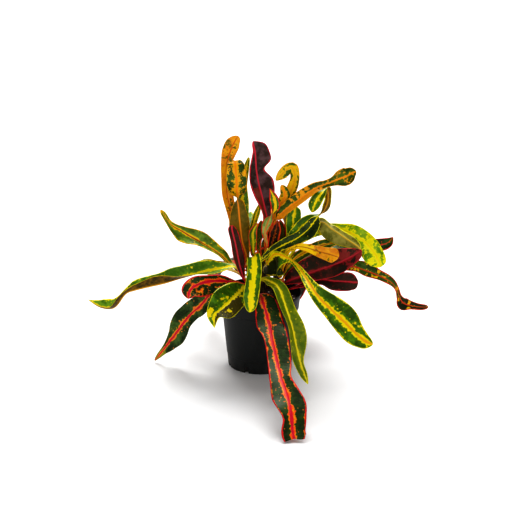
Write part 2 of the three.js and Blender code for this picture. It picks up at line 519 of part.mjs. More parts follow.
function makeLeaf([, stem, joint, heading, , [height, length, phase], course]) {
  const [sx, sy] = STEMS[stem];
  const [c, s] = [Math.cos(rad(heading)), Math.sin(rad(heading))];
  const out = STEM_RADIUS + PETIOLE_GAP;
  const [far, rise] = [out + ELBOW[0], joint + ELBOW[1]];
  const [root, elbow] = PETIOLE_ROOT;
  const stations = [
    [sx + out * c, sy + out * s, joint, 0, root, root, 0],
    [sx + far * c, sy + far * s, rise, 0, elbow, elbow, 0],
    ...course,
  ];
  const end = stations.length - 1;
  const point = (place) => new THREE.Vector3(...along(stations, place).slice(0, 3));
  const rows = [];
  let run = 0;
  let before = point(0);
  for (const place of rowsAlong(stations)) {
    const [, , , turn, left, right, fold] = along(stations, place);
    const at = point(place);
    run += at.distanceTo(before);
    before = at;
    const forward = point(Math.min(place + NUDGE, end))
      .sub(point(Math.max(place - NUDGE, 0)))
      .normalize();
    // the side and the upper face of the blade, turned by its roll
    const side = new THREE.Vector3(-s, c, 0);
    side.addScaledVector(forward, -side.dot(forward)).normalize();
    side.applyAxisAngle(forward, rad(turn));
    const face = new THREE.Vector3().crossVectors(forward, side);
    const t = Math.max(place - (end - 1), 0);
    const taper = Math.sqrt(Math.max(1 - t * t, 0));
    const halves = [right, left].map((w) =>
      Math.max(Math.max(w, LEAST_HALF) * taper, LEAST_HALF),
    );
    const turns = (2 * Math.PI * run) / length;
    const wave = (onLeft) =>
      height * Math.sin(turns + phase + (onLeft ? 0 : RIPPLE_LAG));
    rows.push(rowRound({ at, side, face }, halves, rad(fold), wave, t > 0));
  }
  return sheetGeometry(rows);
}

// Joins rows of points, upper face first and then the lower face backwards,
// into one closed body whose two faces are split alike.
function sheetGeometry(rows) {
  const n = rows[0].length;
  const half = n / 2;
  const faces = [];
  const quad = (a, b, c, d) => faces.push(a, c, b, a, d, c);
  for (let row = 0; row < rows.length - 1; row++)
    for (let k = 0; k < n; k++) {
      const a = row * n + k;
      const b = row * n + ((k + 1) % n);
      if (k < half) quad(a, b, b + n, a + n);
      else quad(b, b + n, a + n, a);
    }
  const cap = (start, flip) => {
    for (let k = 0; k < half - 1; k++) {
      const [a, b] = [start + k, start + k + 1];
      const [c, d] = [start + n - 2 - k, start + n - 1 - k];
      if (flip) faces.push(a, c, b, a, d, c);
      else faces.push(a, b, c, a, c, d);
    }
  };
  cap(0, false);
  cap((rows.length - 1) * n, true);
  const points = rows.flat().map((p) => p.toArray());
  return geometryFrom(points, faces);
}

// ---- the plant ----------------------------------------------------------
addPiece("pot", makePot(), 0x1b1b1c, 0.55);
addPiece("soil", makeSoil(), 0x2e2018, 0.95);
for (const [name, stem] of Object.entries(STEMS))
  addPiece("stem_" + name, makeStem(stem), 0x6b5a48, 0.8);
for (const leaf of LEAVES)
  addPiece("leaf_" + leaf[0], makeLeaf(leaf), ...KINDS[leaf[4]]);

export default plant;
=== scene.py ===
# %% [markdown]
# # A potted croton, step by step
#
# The plant is a young croton: three short woody stems in a black nursery pot, and 42 leathery leaves,
# each twisted, waved and splashed with yellow, orange or crimson in its own way. The measured model of it
# is loaded first and is never changed. Everything made here is laid over it piece by piece, in metres,
# with +Z up.

import math

import bpy
from mathutils import Matrix, Vector


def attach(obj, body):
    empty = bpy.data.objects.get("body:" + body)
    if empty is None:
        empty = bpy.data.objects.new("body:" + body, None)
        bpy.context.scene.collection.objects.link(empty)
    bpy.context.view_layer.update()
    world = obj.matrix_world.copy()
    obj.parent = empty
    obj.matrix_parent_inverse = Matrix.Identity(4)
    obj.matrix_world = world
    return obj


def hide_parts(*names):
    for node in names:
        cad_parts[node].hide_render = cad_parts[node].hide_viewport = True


MM = 0.001  # a millimetre in metres

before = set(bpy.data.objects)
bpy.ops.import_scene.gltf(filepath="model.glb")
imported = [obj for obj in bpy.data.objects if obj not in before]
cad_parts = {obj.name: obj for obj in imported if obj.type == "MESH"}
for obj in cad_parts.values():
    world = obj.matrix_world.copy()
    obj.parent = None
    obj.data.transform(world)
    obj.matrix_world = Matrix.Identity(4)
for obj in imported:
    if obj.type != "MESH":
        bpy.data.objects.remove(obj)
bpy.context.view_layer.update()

# %% [markdown]
# ## Camera, floor and light
#
# A product photograph is taken from a little above, with a long lens, on a white table under one large
# soft lamp. The camera stands 1.85 m in front of the pot and looks 18.5 degrees down. A long lens keeps
# the leaves that reach forward from looking too big.

# %% Camera
SENSOR = 36.0
PICTURE_SIDE = 524
FOCAL_PIXELS = 1333  # found from the rim, the foot and the floor in the photograph
CAMERA_PLACE = (0.003, -1.849, 0.777)
CAMERA_PITCH = 18.5

camera_data = bpy.data.cameras.new("camera")
camera_data.sensor_width = SENSOR
camera_data.lens = FOCAL_PIXELS / PICTURE_SIDE * SENSOR
camera = bpy.data.objects.new("camera", camera_data)
camera.location = CAMERA_PLACE
camera.rotation_euler = (math.radians(90 - CAMERA_PITCH), 0, 0)
bpy.context.scene.collection.objects.link(camera)
bpy.context.scene.camera = camera
print("lens", round(camera_data.lens, 1), "mm")

# %% [markdown]
# The lamp hangs above and a little behind the plant, so the soft shadow falls towards the camera. A weak,
# low second sun stands for the white card that a photographer props up in front, and a white world fills
# what is still dark. Sun lamps are used for both, because the width of a sun sets how soft its shadow is.
# The Standard view with high contrast gives the crisp, saturated colours of a catalogue picture.

# %% Lamps and world
SUN_HEIGHT = 52.0  # degrees above the horizon
SUN_SPREAD = 42.0  # a wide sun throws the soft shadow of a large lamp
SUN_STRENGTH = 3.1
CARD_HEIGHT = 14.0  # so low that it lights upright leaves and hardly touches the floor
CARD_SPREAD = 50.0
CARD_STRENGTH = 0.8
WORLD_STRENGTH = 0.36


def add_sun(name, strength, spread, height, turn):
    """A soft sun at a height above the horizon, turned round the plant from straight behind it."""
    data = bpy.data.lights.new(name, "SUN")
    data.energy = strength
    data.angle = math.radians(spread)
    lamp = bpy.data.objects.new(name, data)
    lamp.rotation_euler = (math.radians(height - 90), 0, math.radians(turn))
    bpy.context.scene.collection.objects.link(lamp)


add_sun("lamp_above", SUN_STRENGTH, SUN_SPREAD, SUN_HEIGHT, 0)
add_sun("card_in_front", CARD_STRENGTH, CARD_SPREAD, CARD_HEIGHT, 180)

world = bpy.data.worlds.new("white_room")
world.use_nodes = True
world.node_tree.nodes["Background"].inputs["Color"].default_value = (1, 1, 1, 1)
world.node_tree.nodes["Background"].inputs["Strength"].default_value = WORLD_STRENGTH
bpy.context.scene.world = world
bpy.context.scene.view_settings.view_transform = "Standard"
bpy.context.scene.view_settings.look = "High Contrast"
print("sun", SUN_STRENGTH, "card", CARD_STRENGTH, "world", WORLD_STRENGTH)

# %% [markdown]
# The floor is one large sheet of white paper. It isn't part of the plant.

# %% Floor
FLOOR_REACH = 20.0
FLOOR_WHITE = (0.76, 0.76, 0.76, 1.0)
FLOOR_ROUGHNESS = 0.6

paper = bpy.data.materials.new("white_paper")
paper.use_nodes = True
paper_shader = paper.node_tree.nodes["Principled BSDF"]
paper_shader.inputs["Base Color"].default_value = FLOOR_WHITE
paper_shader.inputs["Roughness"].default_value = FLOOR_ROUGHNESS

corners = [(x * FLOOR_REACH, y * FLOOR_REACH, 0) for x, y in ((-1, -1), (1, -1), (1, 1), (-1, 1))]
floor_mesh = bpy.data.meshes.new("floor")
floor_mesh.from_pydata(corners, [], [(0, 1, 2, 3)])
floor_mesh.materials.append(paper)
floor = bpy.data.objects.new("floor", floor_mesh)
bpy.context.scene.collection.objects.link(floor)
print("floor reaches", FLOOR_REACH, "m to each side")

# %% [markdown]
# ## Node trees written as arithmetic
#
# Both the shapes and the paint below come from node trees. Wiring forty Math nodes by hand hides the
# formula, so a small class lets a node's output be added and multiplied like a number, and each sign
# makes the node for it. The same class serves geometry trees and shader trees, because both know the same
# Math nodes.

# %% Adding a node
PREFIXES = ("GeometryNode", "ShaderNode", "FunctionNode")


def pick(sockets, key):
    """A socket by its place, or the live one among those with that name."""
    if isinstance(key, int):
        return sockets[key]
    return next(s for s in sockets if s.name == key and s.enabled)


def add_node(tree, kind, feeds=None, out=0, **settings):
    """Adds a node by its type without the prefix, feeds its inputs, and returns one output as a Wire."""
    prefix = next(p for p in PREFIXES if hasattr(bpy.types, p + kind))
    node = tree.nodes.new(prefix + kind)
    for name, value in settings.items():
        setattr(node, name, value)
    for key, value in (feeds or {}).items():
        socket = pick(node.inputs, key)
        if isinstance(value, Wire):
            tree.links.new(value.socket, socket)
        else:
            socket.default_value = value
    return Wire(tree, pick(node.outputs, out))


print("nodes of", len(PREFIXES), "families can be added")

# %% [markdown]
# The class itself holds a tree and one output of a node in it. A sum or a product of two wires is a new
# node and its output, so a formula written with wires builds the tree for it.

# %% A wire that can be calculated with


class Wire:
    """One output of a node. Arithmetic on it adds the node that does it."""

    def __init__(self, tree, socket):
        self.tree = tree
        self.socket = socket

    def calc(self, operation, *others):
        kind = "VectorMath" if self.socket.type in ("VECTOR", "RGBA") else "Math"
        return add_node(self.tree, kind, dict(enumerate((self, *others))), operation=operation)

    def scaled(self, factor):
        return add_node(self.tree, "VectorMath", {"Vector": self, "Scale": factor}, operation="SCALE")

    def length(self):
        return add_node(self.tree, "VectorMath", {0: self}, out="Value", operation="LENGTH")

    def part(self, axis):
        """One number of a vector, by the letter of its axis."""
        return add_node(self.tree, "SeparateXYZ", {0: self}, out=axis)

    def __add__(self, other):
        return self.calc("ADD", other)

    def __sub__(self, other):
        return self.calc("SUBTRACT", other)

    def __mul__(self, other):
        return self.calc("MULTIPLY", other)

    def __truediv__(self, other):
        return self.calc("DIVIDE", other)

    def under(self, whole):
        """whole minus this."""
        return self.calc("MULTIPLY_ADD", -1.0, whole)

    def ramp(self, low, high, start=0.0, end=1.0):
        """Rises smoothly from start at low to end at high, and stays level outside."""
        feeds = {"Value": self, "From Min": low, "From Max": high, "To Min": start, "To Max": end}
        return add_node(self.tree, "MapRange", feeds, out="Result", interpolation_type="SMOOTHSTEP")


def combined(tree, *numbers):
    """A vector from up to three numbers."""
    return add_node(tree, "CombineXYZ", dict(enumerate(numbers)))


def noise_at(tree, vector, scale, detail, out=0):
    return add_node(tree, "TexNoise", {"Vector": vector, "Scale": scale, "Detail": detail}, out)


print("wires ready")

# %% [markdown]
# A tree needs sockets of its own, and every geometry tree below ends alike. `new_tree` makes the named
# inputs and outputs, and `end_tree` sets the material and joins the output.

# %% Beginning and end of a tree


def new_tree(name, kind, inputs, outputs):
    """Makes a tree, its named sockets each given by a type or a default. Returns tree, inputs, output."""
    tree = bpy.data.node_groups.new(name, kind + "NodeTree")
    for direction, ports in (("INPUT", inputs), ("OUTPUT", outputs)):
        for label, value in ports.items():
            typed = isinstance(value, str)
            socket_type = "NodeSocket" + (value if typed else type(value).__name__.capitalize())
            socket = tree.interface.new_socket(name=label, in_out=direction, socket_type=socket_type)
            if not typed:
                socket.default_value = value
    given = tree.nodes.new("NodeGroupInput")
    wires = {label: Wire(tree, given.outputs[label]) for label in inputs}
    return tree, wires, tree.nodes.new("NodeGroupOutput")


def stored(geometry, name, value, domain="POINT"):
    """The geometry with a number stored on it, for a material or a later step to read."""
    feeds = {"Geometry": geometry, "Name": name, "Value": value}
    return add_node(geometry.tree, "StoreNamedAttribute", feeds, data_type="FLOAT", domain=domain)


def end_tree(geometry, skin, result):
    """Ends a geometry tree: instances made real, the material set, and the output joined."""
    tree = geometry.tree
    tree.is_modifier = True
    real = add_node(tree, "RealizeInstances", {"Geometry": geometry})
    dressed = add_node(tree, "SetMaterial", {"Geometry": real, "Material": skin})
    tree.links.new(dressed.socket, result.inputs[0])


print("trees can begin and end")

# %% [markdown]
# A tree works on an object and has to become a plain mesh again. `grown` puts a tree on a mesh, sets its
# inputs by their identifiers, evaluates it once, and keeps only the finished mesh, so that nothing in the
# file depends on a live modifier.

# %% Growing a piece


def grown(name, mesh, tree, **values):
    """A plain object whose mesh is what the geometry tree makes of the given mesh."""
    piece = bpy.data.objects.new(name, mesh)
    bpy.context.scene.collection.objects.link(piece)
    modifier = piece.modifiers.new("grow", "NODES")
    modifier.node_group = tree
    sockets = {s.name: s for s in tree.interface.items_tree if s.in_out == "INPUT"}
    for label, value in values.items():
        modifier[sockets[label.replace("_", " ")].identifier] = value
    graph = bpy.context.evaluated_depsgraph_get()
    result = bpy.data.meshes.new_from_object(
        piece.evaluated_get(graph), preserve_all_data_layers=True, depsgraph=graph
    )
    piece.modifiers.clear()
    piece.data = result
    bpy.data.meshes.remove(mesh)
    result.name = name
    return piece


def volume_cm3(mesh):
    """The volume inside a closed mesh. It is positive if the faces point outwards."""
    mesh.calc_loop_triangles()
    total = 0.0
    for triangle in mesh.loop_triangles:
        a, b, c = (mesh.vertices[i].co for i in triangle.vertices)
        total += a.dot(b.cross(c))
    return total / 6 * 1e6


print("pieces can be grown")

# %% [markdown]
# ## The leaves as a list
#
# A croton leaf is a strap that twists as it grows, so its shape is written as a walk along the midrib.
# Each row below gives the leaf's name, the stem it grows from, the height of its joint, the heading of
# its stalk, its colouring, the ripple of its margin (height, length and phase) and then the stations: x,
# y and z of the midrib, the roll of the blade in degrees, the half-width on the left and on the right,
# and the fold of the two halves. The numbers are millimetres and are the same ones that the measured
# model was built from.

# %% Stems and leaves
STEMS = {
    "left": (-15, -8, 156),
    "back": (5, 20, 176),
    "right": (24, -4, 154),
}
LEAVES = [
  ["left_long", "left", 141, 181, "gold", [1.5, 60, 0], [
    [-39, -6, 153, -20, 5, 5, 10], [-67, -6, 148, -30, 11, 15, 20], [-91, -7, 143, -20, 14, 20, 28],
    [-115, -9, 137, -5, 15, 20, 38], [-139, -11, 130, 10, 15, 19, 52], [-161, -12, 125, 15, 14, 19, 60],
    [-183, -14, 120, 15, 11, 14, 55], [-197, -14, 114, 5, 7, 8, 35], [-214, -14, 93, -5, 14, 16, 38],
    [-233, -14, 93, -5, 11, 13, 34], [-252, -14, 105, -10, 5, 5, 8],
  ]],
  ["left_upper", "left", 147, 160, "goldred", [1.2, 50, 1], [
    [-43, 9, 152, -15, 3, 5, 10], [-56, 12, 163, -20, 8, 10, 25], [-70, 15, 173, -25, 11, 13, 30],
    [-88, 19, 183, -30, 13, 15, 28], [-103, 22, 191, -50, 15, 13, 15], [-115, 25, 198, -60, 15, 8, 10],
    [-127, 28, 204, -45, 9, 5, 15], [-135, 30, 211, -30, 6, 4, 15], [-141, 32, 221, -40, 5, 4, 12],
    [-146, 34, 228, -40, 4, 3, 6],
  ]],
  ["left_lower_red", "left", 112, 197, "red", [2.2, 30, 2], [
    [-35, -12, 124, -45, 3, 3, 5], [-66, -15, 120, -55, 10, 12, 10], [-88, -12, 94, -65, 13, 17, 10],
    [-100, -11, 83, -65, 12, 18, 12], [-112, -9, 68, -65, 12, 19, 12], [-125, -6, 48, -65, 17, 12, 12],
    [-137, -4, 32, -65, 13, 5, 12], [-146, -2, 19, -55, 7, 4, 15], [-158, 1, 2, -50, 3, 3, 5],
  ]],
  ["left_curl_red", "left", 126, 190, "red", [1.2, 40, 0], [
    [-35, -14, 132, -40, 3, 3, 5], [-58, -26, 138, -55, 14, 9, 10], [-76, -36, 140, -60, 20, 10, 10],
    [-92, -42, 137, -60, 20, 13, 10], [-101, -42, 128, -65, 13, 13, 10], [-103, -38, 115, -60, 7, 9, 8],
  ]],
  ["front_left_green", "left", 119, 238, "gold", [1.5, 45, 1], [
    [-22, -26, 130, -40, 4, 4, 5], [-32, -46, 126, -45, 17, 19, 12], [-44, -68, 121, -45, 20, 25, 14],
    [-55, -84, 116, -45, 20, 24, 15], [-64, -94, 110, -30, 9, 12, 15], [-64, -100, 94, -30, 2, 2, 5],
  ]],
  ["front_center", "left", 149, 275, "gold", [1, 50, 2], [
    [-14, -20, 167, 10, 4, 4, 5], [-9, -34, 177, 20, 10, 10, 8], [-8, -48, 162, 5, 11, 10, 10],
    [-10, -62, 146, 0, 11, 11, 12], [-12, -70, 131, 5, 11, 12, 12], [-13, -74, 118, 5, 9, 9, 8],
    [-14, -75, 108, 5, 6, 6, 3],
  ]],
  ["front_right_droop", "left", 127, 305, "gold", [1.2, 60, 0], [
    [4, -24, 140, 65, 3, 3, 5], [18, -44, 142, 35, 8, 9, 12], [28, -62, 137, 5, 11, 12, 20],
    [38, -84, 114, 0, 14, 14, 25], [46, -96, 91, -5, 17, 15, 32], [51, -106, 70, 0, 16, 14, 25],
    [57, -112, 48, 30, 5, 10, 10], [63, -116, 30, 30, 4, 7, 10], [68, -118, 16, 30, 2, 3, 5],
  ]],
  ["front_red_long", "left", 108, 288, "red", [1.2, 70, 1], [
    [1, -40, 120, 55, 5, 4, 0], [5, -66, 117, 20, 19, 12, 6], [13, -98, 99, 15, 21, 18, 5],
    [17, -126, 86, 15, 23, 11, 8], [25, -168, 65, 15, 19, 14, 8], [30, -194, 55, 20, 14, 17, 8],
    [36, -218, 45, 20, 18, 21, 8], [40, -236, 36, 15, 22, 18, 8], [42, -250, 25, 15, 20, 12, 8],
    [43, -262, 12, 10, 17, 15, 5], [45, -269, 5, 5, 16, 14, 4], [46, -262, 2, 5, 7, 7, 0],
  ]],
  ["right_lower_gold", "back", 149, 300, "gold", [1.2, 60, 2], [
    [9, -8, 158, 105, 3, 20, 5], [15, -17, 170, 120, 4, 30, 8], [24, -27, 180, 95, 5, 32, 14],
    [43, -50, 180, 95, 5, 6, 40], [56, -76, 175, 70, 6, 6, 35], [67, -104, 165, 55, 8, 7, 25],
    [80, -132, 153, 50, 14, 10, 15], [99, -156, 140, 45, 21, 13, 8], [115, -170, 129, 40, 21, 17, 8],
    [129, -182, 118, 45, 14, 17, 8], [141, -191, 111, 50, 9, 12, 5], [151, -198, 109, 55, 6, 8, 2],
  ]],
  ["mid_right_dark", "left", 155, 322, "gold", [1, 50, 0], [
    [3, -11, 166, 105, 3, 3, 5], [18, -6, 177, 100, 7, 6, 12], [38, -5, 188, 85, 9, 8, 12],
    [55, -5, 197, 85, 9, 11, 12], [70, -5, 210, 95, 10, 15, 12], [79, -3, 222, 100, 7, 11, 12],
    [85, -2, 229, 100, 3, 3, 5],
  ]],
  ["mid_right_curl", "right", 151, 15, "gold", [1, 50, 1], [
    [38, 2, 181, 40, 3, 3, 5], [52, 4, 201, 55, 9, 9, 15], [67, 7, 216, 55, 10, 9, 18],
    [82, 12, 223, 5, 8, 8, 20], [95, 26, 232, -75, 8, 6, 20], [100, 36, 245, -110, 5, 5, 10],
    [98, 36, 259, -150, 6, 6, 20], [88, 24, 253, -230, 8, 9, 12], [80, 22, 239, -245, 8, 10, 12],
    [76, 20, 228, -250, 5, 6, 8],
  ]],
  ["right_long_orange", "back", 166, 290, "orange", [1, 50, 0], [
    [9, 8, 200, -55, 3, 3, 5], [19, 9, 216, -110, 4, 4, 10], [32, 11, 230, -230, 9, 8, 20],
    [48, 11, 243, -240, 11, 8, 15], [77, 10, 265, -250, 10, 8, 20], [95, 11, 273, -250, 6, 6, 10],
    [106, 12, 277, -245, 7, 7, 8], [116, 13, 281, -240, 12, 12, 8], [126, 13, 285, -235, 13, 13, 6],
    [133, 14, 289, -230, 9, 9, 4], [139, 14, 291, -245, 5, 5, 2],
  ]],
  ["purple_upright", "back", 170, 0, "purple", [1.2, 40, 1], [
    [12, 22, 211, -90, 6, 6, 5], [8, 21, 231, -85, 9, 6, 12], [3, 20, 253, -85, 20, 11, 12],
    [-2, 19, 273, -85, 22, 12.5, 10], [-5, 18, 292, -90, 12, 10.5, 10], [-6, 18, 306, -90, 22.5, 7, 12],
    [-7, 18, 320, -90, 20, 3.5, 10], [-9, 18, 329, -85, 15, 2.5, 6], [-10, 18, 335, -85, 9, 1.5, 3],
  ]],
  ["crescent_red", "back", 173, 245, "goldred", [0.8, 40, 0], [
    [10, -6, 185, 10, 3, 3, 5], [7, -12, 207, 25, 4, 5, 12], [11, -14, 222, 20, 8, 8, 12],
    [17, -14, 234, -60, 6, 6, 12], [22, -13, 246, -145, 7, 7, 10], [20, -11, 259, -155, 7, 6, 8],
    [14, -8, 272, -150, 2, 2, 5],
  ]],
  ["tall_orange", "left", 148, 120, "orange", [1.2, 50, 2], [
    [-26, 8, 174, 120, 3, 3, 5], [-35, 16, 202, 10, 6, 6, 12], [-42, 26, 227, -10, 8, 8, 12],
    [-48, 33, 252, -15, 8, 9, 12], [-49, 37, 277, -25, 8, 8, 10], [-48, 39, 297, -30, 9, 7, 10],
    [-44, 39, 312, -35, 12, 9, 8], [-39, 38, 325, -40, 12, 10, 8], [-35, 38, 332, -40, 9, 7, 5],
    [-32, 38, 338, -40, 6, 6, 3],
  ]],
  ["upright_orange", "left", 154, 140, "orange", [1.2, 50, 0], [
    [-20, -2, 168, 130, 5, 5, 5], [-26, -3, 193, 135, 11, 15, 10], [-29, -3, 220, 130, 14, 16, 10],
    [-31, -1, 244, 110, 10, 11, 15], [-33, 2, 265, -30, 14, 14, 14], [-34, 5, 284, -50, 15, 16, 10],
    [-35, 9, 298, -50, 13, 14, 8], [-36, 14, 304, -35, 11, 11, 5], [-37, 20, 306, -30, 7, 7, 0],
  ]],
  ["red_upright_left", "left", 134, 205, "purple", [1, 40, 1], [
    [-25, -14, 142, 60, 3, 3, 5], [-30, -17, 164, 50, 9, 8, 12], [-34, -18, 187, 50, 9, 8, 12],
    [-38, -18, 205, 55, 8, 7, 12], [-40, -18, 214, 60, 6, 6, 8], [-40, -18, 220, 55, 5, 5, 5],
  ]],
  ["small_upright", "back", 168, 225, "goldred", [0.8, 30, 0], [
    [-9, -3, 172, -90, 5, 3, 5], [-10, -6, 189, -115, 7, 6, 20], [-10, -8, 207, -120, 7, 6, 20],
    [-3, -8, 220, -120, 4, 3, 10],
  ]],
  ["centre_red", "back", 160, 255, "red", [0.8, 40, 0], [
    [0, 4, 166, -130, 2, 3, 5], [-2, 3, 187, -155, 7, 4, 20], [0, 1, 207, -155, 7, 8, 20],
    [2, 0, 222, -160, 4, 4, 8],
  ]],
  ["thin_yellow_back", "back", 171, 150, "gold", [0.8, 40, 1], [
    [-15, 30, 189, -35, 4, 4, 15], [-10, 34, 206, -45, 5, 5, 18], [-5, 36, 222, -45, 5, 5, 15],
    [1, 38, 239, -35, 3, 3, 5],
  ]],
  ["tip_back_yellow", "left", 150, 95, "gold", [0.8, 40, 2], [
    [-20, 14, 188, 15, 3, 3, 5], [-25, 24, 231, 15, 9, 9, 15], [-25, 34, 267, 25, 7, 7, 20],
    [-20, 38, 292, 25, 5, 5, 12], [-16, 40, 306, 25, 4, 4, 5],
  ]],
  ["curly_top", "back", 164, 35, "orange", [1, 40, 0], [
    [18, 26, 207, 50, 3, 3, 5], [29, 30, 227, 50, 6, 6, 12], [39, 32, 245, 50, 7, 7, 12],
    [47, 34, 261, 50, 8, 8, 10], [51, 34, 277, 55, 7, 7, 8], [47, 33, 291, 70, 6, 9, 5],
    [40, 32, 290, 120, 8, 8, 5], [32, 30, 283, 125, 8, 7, 5], [23, 28, 274, 125, 4, 4, 5],
  ]],
  ["small_spoon", "back", 157, 325, "orange", [0.8, 30, 0], [
    [18, 20, 213, 120, 3, 3, 5], [27, 22, 233, 115, 6, 6, 12], [36, 20, 251, 120, 8, 9, 10],
    [35, 19, 261, 130, 6, 7, 8], [31, 18, 270, 130, 5, 5, 5],
  ]],
  ["green_upright_right", "right", 148, 70, "gold", [1, 50, 0], [
    [35, 12, 173, 20, 3, 3, 5], [46, 20, 192, 20, 8, 8, 12], [49, 22, 216, 15, 11, 11, 12],
    [51, 25, 229, 20, 9, 9, 8], [51, 26, 236, 20, 5, 5, 3],
  ]],
  ["big_right_pale", "right", 144, 30, "lemon", [1.5, 60, 0], [
    [47, 18, 179, 25, 4, 4, 5], [69, 24, 195, 155, 9, 8, 10], [89, 20, 213, 225, 16, 8, 8],
    [104, 14, 205, 260, 17, 8, 8], [118, 8, 197, 260, 16, 8, 10], [131, 4, 189, 260, 11, 9, 8],
    [141, 0, 183, 265, 7, 7, 5], [147, -2, 178, 265, 4, 4, 3],
  ]],
  ["big_lemon", "right", 141, 60, "lemon", [2.5, 28, 0], [
    [59, 34, 177, 25, 3, 3, 5], [77, 36, 190, 35, 6, 6, 10], [98, 34, 198, 45, 8, 8, 10],
    [115, 30, 199, 90, 9, 9, 10], [133, 25, 195, 125, 14, 12, 10], [149, 20, 187, 135, 15, 16, 12],
    [162, 16, 175, 145, 15, 18, 12], [171, 12, 163, 150, 13, 18, 10], [175, 10, 154, 150, 11, 14, 5],
    [177, 9, 147, 150, 8, 9, 2],
  ]],
  ["back_right_tip", "right", 137, 25, "red", [1.2, 50, 0], [
    [59, 14, 154, 5, 3, 3, 5], [104, 30, 164, 10, 11, 12, 15], [149, 44, 164, 20, 13, 12, 18],
    [180, 50, 168, 45, 10, 11, 18], [192, 52, 172, 50, 8, 8, 12], [199, 52, 180, 55, 3, 3, 5],
  ]],
  ["right_far_wavy", "right", 127, 12, "goldred", [1.2, 32, 0], [
    [59, 6, 135, 20, 3, 3, 5], [103, 14, 143, 30, 7, 6, 10], [135, 18, 145, 50, 10, 7, 10],
    [156, 21, 138, 65, 13, 9, 15], [178, 24, 128, 65, 9, 7, 15], [195, 26, 118, 70, 7, 5, 12],
    [204, 27, 107, 95, 4, 3, 10], [209, 28, 94, 95, 4, 5, 10], [215, 29, 84, 85, 9, 11, 10],
    [227, 30, 79, 70, 7, 6, 10], [241, 30, 77, 60, 5, 5, 8], [253, 30, 77, 60, 5, 5, 4],
  ]],
  ["dark_red_big", "right", 123, 335, "purple", [1.2, 60, 0], [
    [41, -16, 134, 65, 10, 5, 5], [58, -19, 142, 80, 19, 10, 10], [77, -20, 150, 80, 23, 14, 12],
    [106, -22, 161, 80, 24, 17, 12], [127, -22, 171, 85, 17, 13, 12], [140, -20, 178, 85, 9, 9, 5],
    [147, -20, 183, 90, 4, 4, 3],
  ]],
  ["dark_red_lower", "right", 114, 350, "purple", [1, 50, 1], [
    [59, -8, 124, 55, 3, 3, 5], [88, -6, 133, 60, 7, 8, 10], [108, -6, 131, 70, 11, 14, 10],
    [128, -6, 130, 70, 14, 14, 8], [138, -6, 129, 70, 11, 11, 5], [144, -6, 129, 70, 7, 8, 2],
  ]],
  ["orange_spoon", "right", 139, 320, "orange", [1.6, 26, 2], [
    [38, -22, 178, 85, 3, 3, 5], [52, -28, 190, 60, 4, 4, 15], [66, -33, 191, 50, 6, 6, 12],
    [80, -34, 187, 50, 7, 8, 10], [95, -35, 183, 60, 9, 10, 10], [105, -35, 180, 60, 11, 11, 6],
    [113, -35, 177, 55, 8, 7, 2],
  ]],
  ["right_green_behind", "right", 133, 0, "goldred", [1, 40, 1], [
    [42, -4, 154, 80, 3, 7, 5], [57, 3, 167, 55, 7, 8, 5], [76, 6, 176, 55, 8, 8, 10],
    [97, 8, 183, 50, 8, 8, 10], [114, 9, 184, 50, 4, 4, 4],
  ]],
  ["centre_dark", "back", 156, 285, "red", [0.8, 40, 1], [
    [13, 6, 170, 175, 3, 3, 5], [18, 5, 187, 165, 7, 8, 15], [23, 2, 206, 165, 8, 8, 15],
    [26, 0, 222, 160, 4, 4, 8],
  ]],
  ["centre_strip", "back", 152, 352, "red", [0.8, 40, 2], [
    [30, 24, 169, 85, 3, 3, 5], [35, 25, 184, 95, 8, 4, 15], [34, 23, 201, 100, 8, 5, 15],
    [29, 20, 217, 100, 4, 4, 6],
  ]],
  ["back_centre_dark", "back", 142, 20, "purple", [1, 50, 0], [
    [22, 24, 141, 70, 4, 12, 5], [39, 26, 145, 65, 12, 9, 10], [57, 32, 149, 65, 15, 16, 12],
    [73, 38, 158, 65, 12, 12, 8], [84, 42, 165, 65, 5, 5, 3],
  ]],
  ["back_low_right", "right", 119, 62, "red", [1.2, 55, 0], [
    [38, 28, 128, 0, 3, 3, 5], [50, 62, 135, 0, 14, 14, 15], [60, 104, 116, 0, 17, 16, 12],
    [62, 134, 84, 0, 14, 15, 10], [58, 154, 52, 0, 9, 10, 8], [52, 164, 28, 0, 2, 2, 0],
  ]],
  ["back_long", "back", 126, 88, "gold", [1.2, 60, 1], [
    [6, 42, 136, 0, 3, 3, 5], [10, 85, 148, 10, 15, 15, 15], [14, 138, 134, 25, 19, 18, 12],
    [10, 182, 100, 40, 17, 18, 10], [4, 212, 62, 45, 12, 11, 8], [0, 228, 34, 45, 2, 2, 0],
  ]],
  ["back_left_low", "left", 120, 118, "red", [1.2, 50, 2], [
    [-24, 12, 130, 0, 3, 3, 5], [-40, 50, 140, 0, 14, 14, 15], [-58, 95, 124, -10, 17, 18, 12],
    [-70, 128, 88, -20, 16, 15, 10], [-78, 148, 48, -20, 9, 10, 8], [-81, 158, 20, -20, 2, 2, 0],
  ]],
  ["back_left_mid", "left", 133, 146, "goldred", [1.2, 50, 0], [
    [-36, 6, 141, 0, 3, 3, 5], [-68, 34, 143, 0, 12, 12, 15], [-98, 62, 134, 0, 14, 14, 10],
    [-120, 86, 118, 5, 12, 12, 8], [-136, 104, 104, 5, 7, 7, 5], [-143, 112, 98, 5, 2, 2, 0],
  ]],
  ["back_left_arch", "left", 140, 108, "gold", [1.2, 50, 1], [
    [-19, 22, 160, 0, 3, 3, 5], [-22, 52, 188, 0, 12, 12, 20], [-24, 88, 198, -10, 16, 16, 12],
    [-28, 122, 184, -30, 15, 14, 10], [-34, 146, 154, -50, 9, 9, 10], [-38, 156, 132, -50, 2, 2, 0],
  ]],
  ["back_up_mid", "back", 160, 76, "orange", [1.2, 50, 2], [
    [9, 40, 188, 0, 3, 3, 5], [16, 66, 214, 0, 12, 12, 18], [24, 98, 222, 10, 15, 15, 12],
